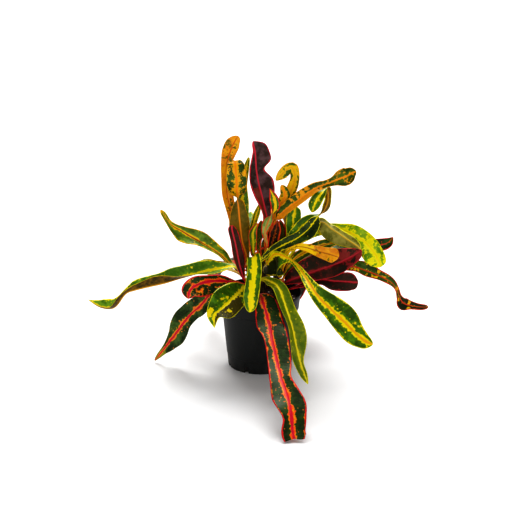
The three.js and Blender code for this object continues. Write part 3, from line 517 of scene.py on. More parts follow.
    [32, 128, 206, 30, 13, 14, 10], [38, 148, 178, 45, 8, 8, 10], [41, 157, 158, 45, 2, 2, 0],
  ]],
  ["back_right_mid", "back", 140, 50, "purple", [1.2, 50, 0], [
    [20, 42, 152, 0, 3, 3, 5], [48, 72, 158, 0, 13, 13, 18], [78, 104, 148, -10, 16, 17, 12],
    [102, 132, 124, -30, 14, 14, 10], [114, 150, 98, -45, 8, 8, 8], [119, 158, 84, -45, 2, 2, 0],
  ]],
]

print(len(LEAVES), "leaves on", len(STEMS), "stems")

# %% [markdown]
# ## From stations to a smooth midrib
#
# A Catmull-Rom curve passes through every station and bends smoothly between them. It runs through all
# seven numbers at once, so width, roll and fold change as smoothly as the place does. The first two
# stations are worked out: the stalk starts just inside the bark and leaves it level before it rises.

# %% The midrib curve
STEM_RADIUS = 4.7
STALK_START = [(-0.9, 0, 1.9), (4.95, 1.4, 1.7)]  # way out from the bark, rise and half-width, twice


def stations_of(leaf):
    """All the stations of a leaf, with the two at the stem, in millimetres and degrees."""
    _, stem, joint, heading, _, _, course = leaf
    x, y, _ = STEMS[stem]
    turn = math.radians(heading)
    start = []
    for out, rise, half in STALK_START:
        reach = STEM_RADIUS + out
        root = [x + reach * math.cos(turn), y + reach * math.sin(turn), joint + rise]
        start.append(root + [0, half, half, 0])
    return start + course


def along_course(stations, step):
    """All seven numbers at a step, which is 0 at the first station and counts one for each."""
    last = len(stations) - 1
    i = min(int(step), last - 1)
    t = step - i
    here, there = stations[i], stations[i + 1]
    before = stations[i - 1] if i > 0 else [2 * a - b for a, b in zip(here, there)]
    after = stations[i + 2] if i < last - 1 else [2 * b - a for a, b in zip(here, there)]
    numbers = []
    for p0, p1, p2, p3 in zip(before, here, there, after):
        m1, m2 = (p2 - p0) / 2, (p3 - p1) / 2
        a = 2 * p1 - 2 * p2 + m1 + m2
        b = -3 * p1 + 3 * p2 - 2 * m1 - m2
        numbers.append(((a * t + b) * t + m1) * t + p1)
    return numbers


print("longest list of stations:", max(len(stations_of(leaf)) for leaf in LEAVES))

# %% [markdown]
# ## Rows across the blade
#
# The geometry tree needs one point for each row across the blade, with what it has to know there. The
# rows are a fixed distance apart along the midrib and close up at both ends, where the stalk and the tip
# are rounded off, as a quarter circle does.

# %% Places of the rows
ROW_GAP = 1.7  # millimetres between rows
FINE_STEPS = 24  # measures the curve between two stations
END_ROWS = 7
EXTRA_TIP_ROWS = 4
ROOT_ROUND = 1.2  # length over which the hidden root of the stalk is rounded
QUARTER_TURN = math.pi / 2


def row_steps(stations):
    """Steps along the course that the rows lie at, and the distance walked to each."""
    end = len(stations) - 1
    fine = [i / FINE_STEPS for i in range(end * FINE_STEPS + 1)]
    places = [Vector(along_course(stations, s)[:3]) for s in fine]
    walked = [0.0]
    for a, b in zip(places, places[1:]):
        walked.append(walked[-1] + (b - a).length)
    length = walked[-1]
    tip = length - walked[-1 - FINE_STEPS]
    count = round((length - tip - ROOT_ROUND) / ROW_GAP)
    goals = [ROOT_ROUND * (1 - math.cos(QUARTER_TURN * i / END_ROWS)) for i in range(END_ROWS)]
    goals += [ROOT_ROUND + (length - tip - ROOT_ROUND) * i / count for i in range(count)]
    tip_rows = max(END_ROWS, round(tip / ROW_GAP) + EXTRA_TIP_ROWS)
    goals += [length - tip + tip * math.sin(QUARTER_TURN * i / tip_rows) for i in range(tip_rows + 1)]
    steps, k = [], 0
    for goal in goals:
        while k < len(fine) - 2 and walked[k + 1] < goal:
            k += 1
        share = (goal - walked[k]) / max(walked[k + 1] - walked[k], 1e-9)
        steps.append(min(fine[k] + share / FINE_STEPS, end))
    return steps, goals


print("rows in the longest leaf:", max(len(row_steps(stations_of(leaf))[0]) for leaf in LEAVES))

# %% [markdown]
# Each row is handed over as one loose point of a mesh. It carries the direction across the blade, the
# direction of its upper face, the two half-widths, the fold, the distance walked, how far the stalk has
# turned into blade, how much of the ripple it takes, and the rounding of the ends.

# %% Spine of a leaf
STALK_WIDTH = 4.0  # a leaf no wider than this is all stalk
BLADE_FADE = 10.0  # and wider by this it is all blade
LEAST_HALF = 0.6
NUDGE = 1e-3  # a step this short gives the direction at a place


def spine_of(leaf):
    """A mesh of loose points, one for each row, with what the blade needs to know there."""
    stations = stations_of(leaf)
    end = len(stations) - 1
    turn = math.radians(leaf[3])
    points, directions, numbers = [], {"side": [], "face": []}, []
    grown_out = 0.0
    for step, run in zip(*row_steps(stations)):
        x, y, z, roll, left, right, fold = along_course(stations, step)
        back = along_course(stations, max(step - NUDGE, 0))
        ahead = along_course(stations, min(step + NUDGE, end))
        forward = (Vector(ahead[:3]) - Vector(back[:3])).normalized()
        side = Vector((-math.sin(turn), math.cos(turn), 0))
        side = (side - forward * side.dot(forward)).normalized()
        side = Matrix.Rotation(math.radians(roll), 3, forward) @ side
        points.append(Vector((x, y, z)) * MM)
        directions["side"].extend(side)
        directions["face"].extend(forward.cross(side))
        tip = max(step - (end - 1), 0.0)
        rooted = min(run / ROOT_ROUND, 1)
        cap = math.sqrt(max(1 - tip * tip, 0)) * math.sqrt(rooted * (2 - rooted))
        wave = min(1, max(0, (left + right - STALK_WIDTH) / BLADE_FADE))
        grown_out = max(grown_out, wave)
        row = {"left": max(left, LEAST_HALF) * cap * MM, "right": max(right, LEAST_HALF) * cap * MM}
        row |= {"fold": math.radians(fold), "walk": run * MM}
        numbers.append(row | {"blade": grown_out, "wave": wave, "cap": cap})
    mesh = bpy.data.meshes.new("spine")
    mesh.from_pydata(points, [], [])
    for label, values in directions.items():
        mesh.attributes.new(label, "FLOAT_VECTOR", "POINT").data.foreach_set("vector", values)
    for label in numbers[0]:
        values = [row[label] for row in numbers]
        mesh.attributes.new(label, "FLOAT", "POINT").data.foreach_set("value", values)
    return mesh


print("all stalk up to", STALK_WIDTH, "mm wide, all blade from", STALK_WIDTH + BLADE_FADE)

# %% [markdown]
# ## The blade, grown by Geometry Nodes
#
# The blade follows a rule, so a node tree makes it: a flat grid with one row for each spine point, bent
# into place. A point's place across the blade runs from -1 to 1, and the tree turns it into millimetres
# with the half-width, folds the two halves up, adds the ripple that makes a margin wavy, and raises the
# flesh a little between the side veins. The grid is used twice, as upper and lower face, with the rib as
# a keel underneath. The thickness fades to nothing at the margin and at both ends, so merging points
# closes the body.

# %% Tree of the blade
COLUMNS = 27

blade_tree, given, result = new_tree(
    "croton_blade",
    "Geometry",
    {
        "Spine": "Geometry",
        "Columns": COLUMNS,
        "Ripple height": 1.0 * MM,
        "Ripple length": 50 * MM,
        "Ripple phase": 0.0,
        "Vein gap": 6 * MM,
        "Vein relief": 0.05 * MM,
        "Seed": 0.0,
        "Skin": "Material",
    },
    {"Leaf": "Geometry"},
)
row_count = add_node(blade_tree, "AttributeDomainSize", {"Geometry": given["Spine"]}, "Point Count")
size = {"Size X": 2.0, "Size Y": 1.0, "Vertices X": given["Columns"], "Vertices Y": row_count}
grid = add_node(blade_tree, "MeshGrid", size, "Mesh")
index = add_node(blade_tree, "InputIndex")
row = add_node(blade_tree, "IntegerMath", {0: index, 1: row_count}, operation="MODULO")
place = add_node(blade_tree, "InputPosition")
flat = place.part("X")


def sample_row(value, kind="FLOAT"):
    """A value of the spine, read at the row that a grid point belongs to."""
    feeds = {"Geometry": given["Spine"], "Value": value, "Index": row}
    return add_node(blade_tree, "SampleIndex", feeds, "Value", data_type=kind)


def per_row(name, kind="FLOAT"):
    """An attribute of the spine, read in the same way."""
    value = add_node(blade_tree, "InputNamedAttribute", {"Name": name}, "Attribute", data_type=kind)
    return sample_row(value, kind)


print("grid of", COLUMNS, "columns")

# %% [markdown]
# Columns are set closer together near the midrib, where the groove is, by raising the place across to a
# power. `distance` is then the way from the midrib in metres, and `margin` the way left to the edge of
# the blade.

# %% Where a grid point lies on the blade
CROWDING = 1.35

sign = flat.calc("SIGN")
share = flat.calc("ABSOLUTE").calc("POWER", CROWDING)
on_left = flat.calc("GREATER_THAN", 0.0)
half = per_row("left") * on_left + per_row("right") * on_left.under(1.0)
distance = half * share
margin = half - distance
walk, fold, blade, wave, cap = (per_row(name) for name in ("walk", "fold", "blade", "wave", "cap"))
print("across the blade: crowding", CROWDING)

# %% [markdown]
# Three things lift a point out of the flat: the ripple, which grows towards the margin and differs
# between the halves; soft pillows between the side veins, which lean towards the tip; and a slow
# unevenness, because no leaf is a perfect sheet.

# %% Ripple, pillows and unevenness
HALF_PHASE = 2.1  # the right half's waves are this many radians ahead of the left half's
RIPPLE_POWER = 1.5
VEIN_LEAN = 0.55
UNEVEN = 1.0 * MM
UNEVEN_SCALE = 42.0
TURN = 2 * math.pi

angle = walk / given["Ripple length"] * TURN + given["Ripple phase"] + on_left.under(1.0) * HALF_PHASE
ripple = angle.calc("SINE") * share.calc("POWER", RIPPLE_POWER) * given["Ripple height"] * wave
vein_turn = (walk - distance * VEIN_LEAN) / given["Vein gap"] * TURN
on_flesh = distance.ramp(1.0 * MM, 5 * MM) * margin.ramp(0.0, 4 * MM) * blade
pillow = vein_turn.calc("COSINE") * given["Vein relief"] * on_flesh
spot = combined(blade_tree, walk, distance * sign, given["Seed"])
uneven = (noise_at(blade_tree, spot, UNEVEN_SCALE, 1.0) - 0.5) * UNEVEN * on_flesh
lift = share * half * fold.calc("SINE") + ripple + pillow + uneven
print("unevenness up to", UNEVEN / MM / 2, "mm")

# %% [markdown]
# The stalk is round, and the blade is a thin sheet with its rib below and a shallow groove above. Each is
# a profile across, and `blade` fades from the one to the other along the leaf.

# %% Middle of the blade and its thickness
RIB_THICK = 1.7 * MM
SHEET_THICK = 0.62 * MM
STALK_THICK = 2.6 * MM
RIB_REACH = 1.5 * MM
GROOVE = 0.3 * MM


def faded(power):
    """1 along the middle and falling to 0 at the margin, the later the higher the power."""
    return share.calc("POWER", power).under(1.0).calc("MAXIMUM", 0.0).calc("SQRT")


side, face = (per_row(name, "FLOAT_VECTOR") for name in ("side", "face"))
midrib = sample_row(place, "FLOAT_VECTOR")
middle = midrib + side.scaled(sign * distance * fold.calc("COSINE")) + face.scaled(lift)
edge_fade = faded(8.0)
near_rib = ((distance / RIB_REACH) * (distance / RIB_REACH) * -1.0).calc("EXPONENT")
stalk_part = faded(2.0) * (STALK_THICK / 2) * blade.under(1.0)
sheet_part = edge_fade * (SHEET_THICK / 2) * blade
keel = near_rib * (RIB_THICK - SHEET_THICK) * edge_fade * blade
groove = near_rib * -GROOVE * blade * edge_fade
up = (stalk_part + sheet_part + groove) * cap
down = (stalk_part + sheet_part + keel) * cap
print("sheet", SHEET_THICK / MM, "mm, rib", RIB_THICK / MM, "mm")

# %% [markdown]
# The paint needs to know where it is on the leaf, so the grid stores it before it is bent: `walk` along
# the midrib, `across` from it (negative on the right half), `margin` from the edge, and `under` on the
# faces of the underside.

# %% Two faces, joined into one closed leaf
MERGE = 5e-7

sheet = stored(stored(stored(grid, "walk", walk), "across", distance * sign), "margin", margin)
upper = add_node(blade_tree, "SetPosition", {"Geometry": sheet, "Position": middle + face.scaled(up)})
lower = add_node(blade_tree, "SetPosition", {"Geometry": sheet, "Position": middle - face.scaled(down)})
upper = add_node(blade_tree, "FlipFaces", {"Mesh": upper})
both = add_node(blade_tree, "JoinGeometry")
for sheet_face, under in ((upper, 0.0), (lower, 1.0)):
    blade_tree.links.new(stored(sheet_face, "under", under, "FACE").socket, both.socket.node.inputs[0])
closed = add_node(blade_tree, "MergeByDistance", {"Geometry": both, "Distance": MERGE})
end_tree(add_node(blade_tree, "SetShadeSmooth", {"Geometry": closed}), given["Skin"], result)
print(len(blade_tree.nodes), "nodes in the blade's tree")

# %% [markdown]
# ## The paint of a croton leaf
#
# Every leaf shares one way of being coloured, and only the amounts differ. The flesh is green or dark; a
# band of yellow or orange runs along the midrib and sends spurs out along the side veins; the margin has
# an uneven border with a thin bright line; specks and patches are scattered over the rest; the rib itself
# may be a crimson line. So the paint is one node group. It reads the places that the blade's tree stored,
# in millimetres, which makes a pattern follow the leaf however much it twists.

# %% Sockets of the paint
PAINT_COLORS = ["Flesh", "Flesh light", "Splash", "Glow", "Core", "Edge"]
PAINT_COLORS += ["Under", "Under light", "Under core"]
PAINT_SIZES = ["Band", "Spur", "Core width", "Margin width", "Edge width"]
PAINT_SIZES += ["Patches", "Specks", "Vein gap"]
FLUSH_SIZES = ["Flush start", "Flush end", "Flush side"]

paint_inputs = dict.fromkeys(PAINT_COLORS + ["Flush"], "Color")
paint_inputs |= dict.fromkeys(PAINT_SIZES + FLUSH_SIZES + ["Seed"], "Float")
paint_outputs = {"Color": "Color", "Roughness": "Float", "Height": "Float"}
paint_tree, dye, painted_out = new_tree("croton_paint", "Shader", paint_inputs, paint_outputs)


def blend(tree, factor, low, high):
    """A colour between two, by a factor from 0 to 1."""
    return add_node(tree, "Mix", {"Factor": factor, "A": low, "B": high}, "Result", data_type="RGBA")


def stored_value(tree, name):
    """A number that the geometry stored on itself."""
    return add_node(tree, "Attribute", out="Fac", attribute_name=name)


print(len(PAINT_COLORS), "colours and", len(PAINT_SIZES), "amounts")

# %% [markdown]
# Noise makes the pattern uneven at three sizes. One noise texture holds three fields that have nothing to
# do with each other, in its red, green and blue. Each is shifted to lie about zero. The seed moves every
# leaf to another place in the noise.

# %% Where the paint is, and the noise there
SWING = 4.0
SEED_STEP = 53.0

walk_mm = stored_value(paint_tree, "walk") * (1 / MM)
across_mm = stored_value(paint_tree, "across") * (1 / MM)
margin_mm = stored_value(paint_tree, "margin") * (1 / MM)
underside = stored_value(paint_tree, "under")
rib_mm = across_mm.calc("ABSOLUTE")
spot = combined(paint_tree, walk_mm, across_mm, dye["Seed"] * SEED_STEP)


def color_parts(color):
    """Red, green and blue of a colour, each as a number."""
    split = add_node(color.tree, "SeparateColor", {0: color}).socket.node
    return [Wire(color.tree, split.outputs[i]) for i in range(3)]


def three_fields(scale, detail):
    """Three noises from one texture, each mostly within half a unit of zero."""
    color = noise_at(paint_tree, spot, scale, detail, "Color")
    return [(part - 0.5) * SWING for part in color_parts(color)]


cloud = three_fields(0.06, 2.0)
mottle = three_fields(0.21, 3.0)
grain = noise_at(paint_tree, spot, 1.1, 3.0)
print("noise at three sizes")

# %% [markdown]
# Side veins leave the rib every few millimetres and lean towards the tip. `vein_count` numbers them, and
# its fraction says how far the point is from the nearest one. Each vein draws a random number of its own,
# so that some carry a long spur of colour and others hardly any.

# %% Veins
VEIN_BEND = 0.35
VEIN_SEED_STEP = 17.0

vein_count = (walk_mm - rib_mm * VEIN_LEAN) / dye["Vein gap"]
vein_count = vein_count + mottle[0] * VEIN_BEND + cloud[0] * VEIN_BEND
vein_count = vein_count + across_mm.calc("GREATER_THAN", 0.0) * 0.5
on_vein = (vein_count.calc("FRACT") - 0.5).calc("ABSOLUTE") * 2.0
vein_number = (vein_count + 0.5).calc("FLOOR") + dye["Seed"] * VEIN_SEED_STEP
vein_luck = add_node(paint_tree, "TexWhiteNoise", {"W": vein_number}, "Value", noise_dimensions="1D")
vein_line = on_vein.ramp(0.86, 1.0)
spurred = vein_luck * vein_luck * on_vein.ramp(0.35, 1.0)
print("side veins lean", VEIN_LEAN)

# %% [markdown]
# The masks are all made alike: a distance is compared with a limit, and the limit is made uneven by noise
# and by the veins' own luck. The edges stay crisp, because the colours of a croton meet sharply.

# %% Masks of the band, the border and the rib
CRISP = 0.3
FULL_HALF = 9.0  # on a half narrower than this, band and core shrink with it
GLOW_SHARE = 0.62  # of the band's width


def inside(distance, limit):
    """1 where a distance is under the limit, with a crisp uneven edge."""
    return (limit - distance).ramp(-CRISP, CRISP)


drift = (cloud[0] * 0.55 + mottle[0] * 0.5 + 1.0).calc("MAXIMUM", 0.3)
fill = ((rib_mm + margin_mm) / FULL_HALF).calc("MINIMUM", 1.0)
band_limit = dye["Band"] * drift * fill + dye["Spur"] * spurred * (mottle[1] * 0.6 + 1.0)
border_drift = cloud[1] * 1.1 + mottle[1] * 1.0 + spurred * 0.8 + 0.5
band = inside(rib_mm, band_limit)
border = inside(margin_mm, dye["Margin width"] * border_drift)
glowing = inside(rib_mm, band_limit * GLOW_SHARE)
core = inside(rib_mm, dye["Core width"] * fill * (cloud[2] * 0.3 + mottle[2] * 0.3 + 1.0))
edge_line = inside(margin_mm, dye["Edge width"] * (cloud[2] * 0.5 + mottle[0] * 0.5 + 1.0))
print("masks along the rib and the margin")

# %% [markdown]
# Patches are where the noise is high. Specks are small cells: each cell draws a number, and those that
# win show a dot whose size is drawn too. They crowd where the slow noise is high, as on the plant.

# %% Masks of patches and specks
PATCH_START = 0.85  # with no patches the noise hardly ever passes this
PATCH_GAIN = 1.4
SPECK_CELL = 0.34  # cells in a millimetre
SPECK_RADIUS = (0.12, 0.22)  # of the smallest speck in cells, and what a lucky one adds

patch_field = cloud[2] * 0.6 + mottle[2] * 0.4 + (grain - 0.5) * 0.5 + spurred * 0.2
patches = (patch_field + dye["Patches"] * PATCH_GAIN - PATCH_START).ramp(-0.05, 0.05)
speck_cells = add_node(paint_tree, "TexVoronoi", {"Vector": spot, "Scale": SPECK_CELL}, "Distance")
chance, size, _ = color_parts(Wire(paint_tree, speck_cells.socket.node.outputs["Color"]))
won = (dye["Specks"] * (cloud[1] * 1.6 + 1.0)).calc("GREATER_THAN", chance)
specks = (size * SPECK_RADIUS[1] + SPECK_RADIUS[0] - speck_cells).ramp(-0.04, 0.04) * won
splashed = band.calc("MAXIMUM", border).calc("MAXIMUM", patches).calc("MAXIMUM", specks)
print("specks up to", round(2 * sum(SPECK_RADIUS) / SPECK_CELL, 1), "mm wide")

# %% [markdown]
# Some leaves change along their length: a tip turns yellow, or one half turns brown. The flush is a
# colour of its own that takes over between two distances from the stem, with a ragged front. On
# right_lower_gold it is painted shade: a dark green over the right half near the stem, under the leaf's
# arch. Its side is 1 for the left half, -1 for the right half and 0 for both.

# %% Flush
flush_zone = walk_mm.calc("SUBTRACT", dye["Flush start"]) / (dye["Flush end"] - dye["Flush start"])
flush_front = flush_zone + cloud[0] * 0.5 + mottle[1] * 0.4
one_side = (across_mm * dye["Flush side"]).calc("GREATER_THAN", -0.001)
flush_and_shade = flush_front.ramp(0.42, 0.58) * one_side
print("flush ready")

# %% [markdown]
# The upper face is painted from the flesh outwards: flesh, flush, splashes, the glow round the rib, the
# core and the edge line. The underside is duller. It shows a ghost of the same splashes and flush,
# because the blade lets light through.

# %% Colours of both faces
near_band = (rib_mm - band_limit).ramp(0.0, 5.0, 0.55, 0.0)
# Lighter patches of flesh, drawn by noise: a random tone, and on left_lower_red a painted sheen.
light_tone_and_sheen = (cloud[1] * 0.7 + mottle[1] * 0.35).ramp(-0.3, 0.7)
splash = blend(paint_tree, (mottle[0] * 0.8 + 0.4).ramp(0.0, 1.0), dye["Splash"], dye["Glow"])
top_color = blend(paint_tree, light_tone_and_sheen, dye["Flesh"], dye["Flesh light"])
top_layers = [
    (near_band.calc("MAXIMUM", vein_line * 0.3), dye["Flesh light"]),
    (flush_and_shade, dye["Flush"]),
    (splashed, splash),
    (glowing, dye["Glow"]),
    (core, dye["Core"]),
    (edge_line, dye["Edge"]),
]
for mask, color in top_layers:
    top_color = blend(paint_tree, mask, top_color, color)

# Lighter patches of the underside, drawn by noise: a random tone, and on purple_upright a painted sheen.
under_tone_and_sheen = (cloud[1] + mottle[2] * 0.5).ramp(-0.5, 0.8)
under_color = blend(paint_tree, under_tone_and_sheen, dye["Under"], dye["Under light"])
under_layers = [
    (vein_line * 0.5, dye["Under light"]),
    (splashed * 0.45, dye["Under light"]),
    (flush_and_shade * 0.75, dye["Flush"]),
    (inside(rib_mm, dye["Core width"] * 0.5 + 0.7), dye["Under core"]),
    (edge_line, dye["Edge"]),
]
for mask, color in under_layers:
    under_color = blend(paint_tree, mask, under_color, color)
leaf_color = blend(paint_tree, underside, top_color, under_color)
print("layers above:", len(top_layers), "and below:", len(under_layers))

# %% [markdown]
# A croton leaf is waxy, so it is smooth and gives broad highlights. The relief holds grain, a fine net
# between the veins, and the veins themselves as grooves.

# %% Gloss and fine relief
net = add_node(
    paint_tree, "TexVoronoi", {"Vector": spot, "Scale": 0.75}, "Distance", feature="DISTANCE_TO_EDGE"
)
gloss = grain * 0.2 + underside * 0.12 + 0.27
relief = grain * 0.07 + net.ramp(0.0, 0.18) * 0.05 - vein_line * 0.14
for label, wire in (("Color", leaf_color), ("Roughness", gloss), ("Height", relief)):
    paint_tree.links.new(wire.socket, painted_out.inputs[label])
print(len(paint_tree.nodes), "nodes in the paint")

# %% [markdown]
# ## Colourings
#
# Crotons colour as they age: young leaves are green and yellow, older ones take on orange, red and at
# last a blackish purple. Six colourings cover the plant. Colours are written as on screen, and `screen`
# turns them into the linear values that Blender paints with. The amounts are millimetres, or shares from
# 0 to 1. Colours and amounts are in the order of the paint's sockets.

# %% The six colourings


def screen(code):
    """A colour written as six hexadecimal digits, as linear red, green, blue and alpha."""
    parts = [int(code[i : i + 2], 16) / 255 for i in (0, 2, 4)]
    return [p / 12.92 if p <= 0.04045 else ((p + 0.055) / 1.055) ** 2.4 for p in parts] + [1.0]


KIND_COLORS = {
    "gold": "365602 609010 e4cc00 ecd600 ecda00 dcd410 4a3c04 86640c d4981c",
    "goldred": "344e08 567614 e4bc00 ecc000 bc2a18 e6a408 4c3a0c 7c5a14 d07a1c",
    "red": "142604 2c460c ea960e ee4a14 cc0836 dc1c24 2c0c0a 4e1810 c02a34",
    "orange": "243c04 566c08 e09804 e89c04 e88c06 e69a08 685006 946c0c e0861a",
    "purple": "220606 4a1618 781018 901420 bc1434 c81c2c 32140f 501f1c c82840",
    "lemon": "64940c 98b410 e0da00 ece200 ecd400 e8e000 626008 a09c3c d08c18",
}
KIND_SIZES = {
    "gold": [2.7, 1.2, 1.2, 1.2, 0.9, 0.14, 0.1, 6.0],
    "goldred": [2.5, 0.8, 0.6, 1.3, 0.8, 0.1, 0.12, 6.0],
    "red": [3.8, 1.4, 1.9, 1.5, 1.2, 0.1, 0.16, 6.0],
    "orange": [3.8, 2.0, 1.1, 1.6, 0.8, 0.56, 0.1, 7.0],
    "purple": [1.4, 0.5, 0.9, 0.6, 1.0, 0.2, 0.05, 6.0],
    "lemon": [3.4, 1.5, 1.1, 2.4, 0.9, 0.56, 0.1, 6.0],
}
print("colourings:", ", ".join(KIND_COLORS))

# %% [markdown]
# Hardly any leaf keeps to its colouring exactly. What each one does differently in the photograph is
# listed by its name: a wider band, another edge, a flush of yellow at the tip. An underscore stands for
# the space in a socket's name.

# %% Leaves with a look of their own
OWN_LOOKS = {
    "front_center": dict(Band=4.2, Core_width=3.2, Margin_width=0.6, Edge_width=1.1),
    "front_left_green": dict(
        Band=2.2, Patches=0.34, Flush="443c06", Flush_start=40, Flush_end=60, Flush_side=1,
    ),
    "front_right_droop": dict(
        Flesh="526c04", Flesh_light="86900a", Glow="d8cc08", Core="f0dc30", Band=2.0, Core_width=1.0,
        Specks=0.04,
    ),
    "front_red_long": dict(Margin_width=2.4, Edge_width=1.7, Specks=0.14),
    "left_curl_red": dict(Edge_width=1.7, Patches=0.35, Specks=0.3),
    # left_lower_red's grey-green Flesh light is a painted sheen in patches, for its glossy highlights.
    "left_lower_red": dict(
        Flesh_light="4c682c", Glow="e87430", Edge="7c7412", Band=3.2, Core_width=1.4, Margin_width=0.4,
        Edge_width=0.5, Flush="8c8c1c", Flush_start=172, Flush_end=186,
    ),
    "left_upper": dict(
        Flesh="44600c", Flesh_light="7c9c2c", Core="a83c14", Core_width=0.9, Margin_width=2.0,
    ),
    "left_long": dict(
        Flesh="48700a", Flesh_light="78a028", Edge="e0c810", Under="3c2c04", Under_light="866008",
        Margin_width=1.8, Patches=0.2,
    ),
    # The dark green flush of right_lower_gold, on its right half near the stem, is painted shade.
    "right_lower_gold": dict(
        Core="e8a810", Band=3.8, Spur=2.0, Core_width=1.6, Margin_width=1.8, Flush="242c06",
        Flush_start=78, Flush_end=60, Flush_side=-1,
    ),
    "mid_right_dark": dict(Flesh="1a2804", Flesh_light="3e5812", Band=0.7, Core_width=0.4),
    "mid_right_curl": dict(Band=1.4, Core_width=0.6),
    "green_upright_right": dict(Flesh="3a6a08", Band=1.6, Core_width=0.6),
    "right_long_orange": dict(
        Band=1.4, Margin_width=1.6, Patches=0.42, Flush="dc9018", Flush_start=150, Flush_end=138,
        Flush_side=-1,
    ),
    # purple_upright is seen from below, and its grey-pink Under light is a painted sheen in patches.
    "purple_upright": dict(
        Edge="d01c38", Under="32161a", Under_light="604248", Core_width=0.8, Edge_width=1.6,
        Patches=0.1, Flush="7c240c", Flush_start=128, Flush_end=92, Flush_side=-1,
    ),
    "tall_orange": dict(
        Flesh="d88408", Flesh_light="e8a40a", Splash="4c5c0a", Glow="88700c", Core="cc640a", Band=0.8,
        Spur=0.3, Core_width=0.9, Margin_width=0.3, Patches=0.44, Specks=0.2,
    ),
    "upright_orange": dict(Splash="e0a804", Under="5c5004", Under_light="806410", Patches=0.5),
    "red_upright_left": dict(Flesh="481208", Flesh_light="782414", Edge="d41c20", Specks=0.3),
    "crescent_red": dict(
        Flesh="2c4806", Core="d8bc0c", Edge="cc2a16", Under="74843c", Under_light="aab068",
        Under_core="c87c34", Edge_width=1.9,
    ),
    "small_upright": dict(Flesh="34500a", Glow="b0a40c", Core="d8c80c", Edge="c8401a", Edge_width=1.5),
    "centre_red": dict(
        Flesh="243408", Flesh_light="40560e", Glow="34480a", Core="3c500a", Edge="d04c12", Band=0.3,
        Core_width=0.3, Margin_width=0.4, Edge_width=2.0, Specks=0.05,
    ),
    "centre_dark": dict(
        Flesh="200a04", Flesh_light="3c1408", Glow="601c08", Core="8c2c0c", Edge="cc4410", Band=0.8,
        Core_width=0.8, Margin_width=0.5, Edge_width=2.0, Specks=0.1,
    ),
    "centre_strip": dict(
        Flesh="282c08", Flesh_light="44480e", Glow="3c3c0c", Core="4c440c", Edge="b03018", Band=0.4,
        Core_width=0.4, Margin_width=0.5, Edge_width=2.2, Specks=0.08,
    ),
    "curly_top": dict(Flesh="2c5008", Splash="dcb400", Glow="e0b000", Core="d8a008", Patches=0.5),
    "small_spoon": dict(Splash="cc9c08", Patches=0.6),
    "orange_spoon": dict(
        Flesh="d07c08", Flesh_light="e8a810", Splash="40540a", Glow="7c6c0c", Core="b8600a", Band=0.6,
        Spur=0.2, Core_width=0.6, Margin_width=0.2, Patches=0.38, Flush="ecc404", Flush_start=98,
        Flush_end=86,
    ),
    "big_lemon": dict(Margin_width=3.0, Vein_gap=8.0),
    "big_right_pale": dict(Under="6c6c18", Under_light="a8a04c", Under_core="d0b03c"),
    "back_right_tip": dict(Flesh_light="3c6418", Band=0.8, Core_width=0.5, Margin_width=0.6),
    "right_far_wavy": dict(
        Flesh="263e08", Flesh_light="54701c", Splash="dca010", Core="c83a14", Edge="cc3a18", Band=0.7,
        Core_width=1.0, Margin_width=0.3, Edge_width=1.4, Patches=0.44, Flush="1c2006", Flush_start=192,
        Flush_end=216,
    ),
    "dark_red_big": dict(
        Flesh="200303", Flesh_light="54060e", Core="a81430", Band=2.0, Patches=0.3, Specks=0.12,
        Flush="80101c", Flush_start=92, Flush_end=140,
    ),
    "dark_red_lower": dict(Flesh="240405", Flesh_light="40080e"),
}
print(len(OWN_LOOKS), "of", len(LEAVES), "leaves have a look of their own")

# %% [markdown]
# ## A material for each leaf
#
# Leaf, plastic, soil and bark all end alike: a colour, a roughness and a height in millimetres go to the
# shader. Grain and fine veins are too small to model, so the height goes through a Bump node. Each leaf
# has a material to itself, because its colours are its own, but the paint in all of them is the one
# group.

# %% Skin of a leaf
NO_FLUSH = 1000.0  # millimetres from the stem, so past every tip
LEAF_BUMP = 0.8
LEAF_SPECULAR = 0.3
WAX_TINT = (0.85, 1.0, 0.68, 1.0)


def new_material(name):
    """A new material and its node tree."""
    material = bpy.data.materials.new(name)
    material.use_nodes = True
    return material, material.node_tree


def finish_paint(tree, color, roughness, height, strength):
    """Joins colour, roughness and height to the shader and returns the shader."""
    shader = tree.nodes["Principled BSDF"]
    bump = add_node(tree, "Bump", {"Height": height, "Distance": MM, "Strength": strength})
    for label, wire in (("Base Color", color), ("Roughness", roughness), ("Normal", bump)):
        tree.links.new(wire.socket, shader.inputs[label])
    return shader


def leaf_skin(name, kind, seed):
    """A leaf's material: the shared paint with this leaf's colours and amounts."""
    material, tree = new_material("skin_" + name)
    look = {"Flush start": NO_FLUSH, "Flush end": NO_FLUSH + 1, "Seed": seed}
    look.update(zip(PAINT_COLORS, KIND_COLORS[kind].split()))
    look.update(zip(PAINT_SIZES, KIND_SIZES[kind]))
    look.update((label.replace("_", " "), value) for label, value in OWN_LOOKS.get(name, {}).items())
    paint = tree.nodes.new("ShaderNodeGroup")
    paint.node_tree = paint_tree
    for label, value in look.items():
        paint.inputs[label].default_value = screen(value) if isinstance(value, str) else value
    color, roughness, height = (Wire(tree, socket) for socket in paint.outputs)
    shader = finish_paint(tree, color, roughness, height, LEAF_BUMP)
    shader.inputs["Specular IOR Level"].default_value = LEAF_SPECULAR
    shader.inputs["Specular Tint"].default_value = WAX_TINT
    return material


print("specular level of a leaf:", LEAF_SPECULAR)

# %% [markdown]
# Now every leaf is grown by the same tree from its own row of the list. It rides on the plant's one body
# and takes the place of its measured leaf.

# %% Grow the leaves
REPORT_EVERY = 10  # leaves, so that the print stays short

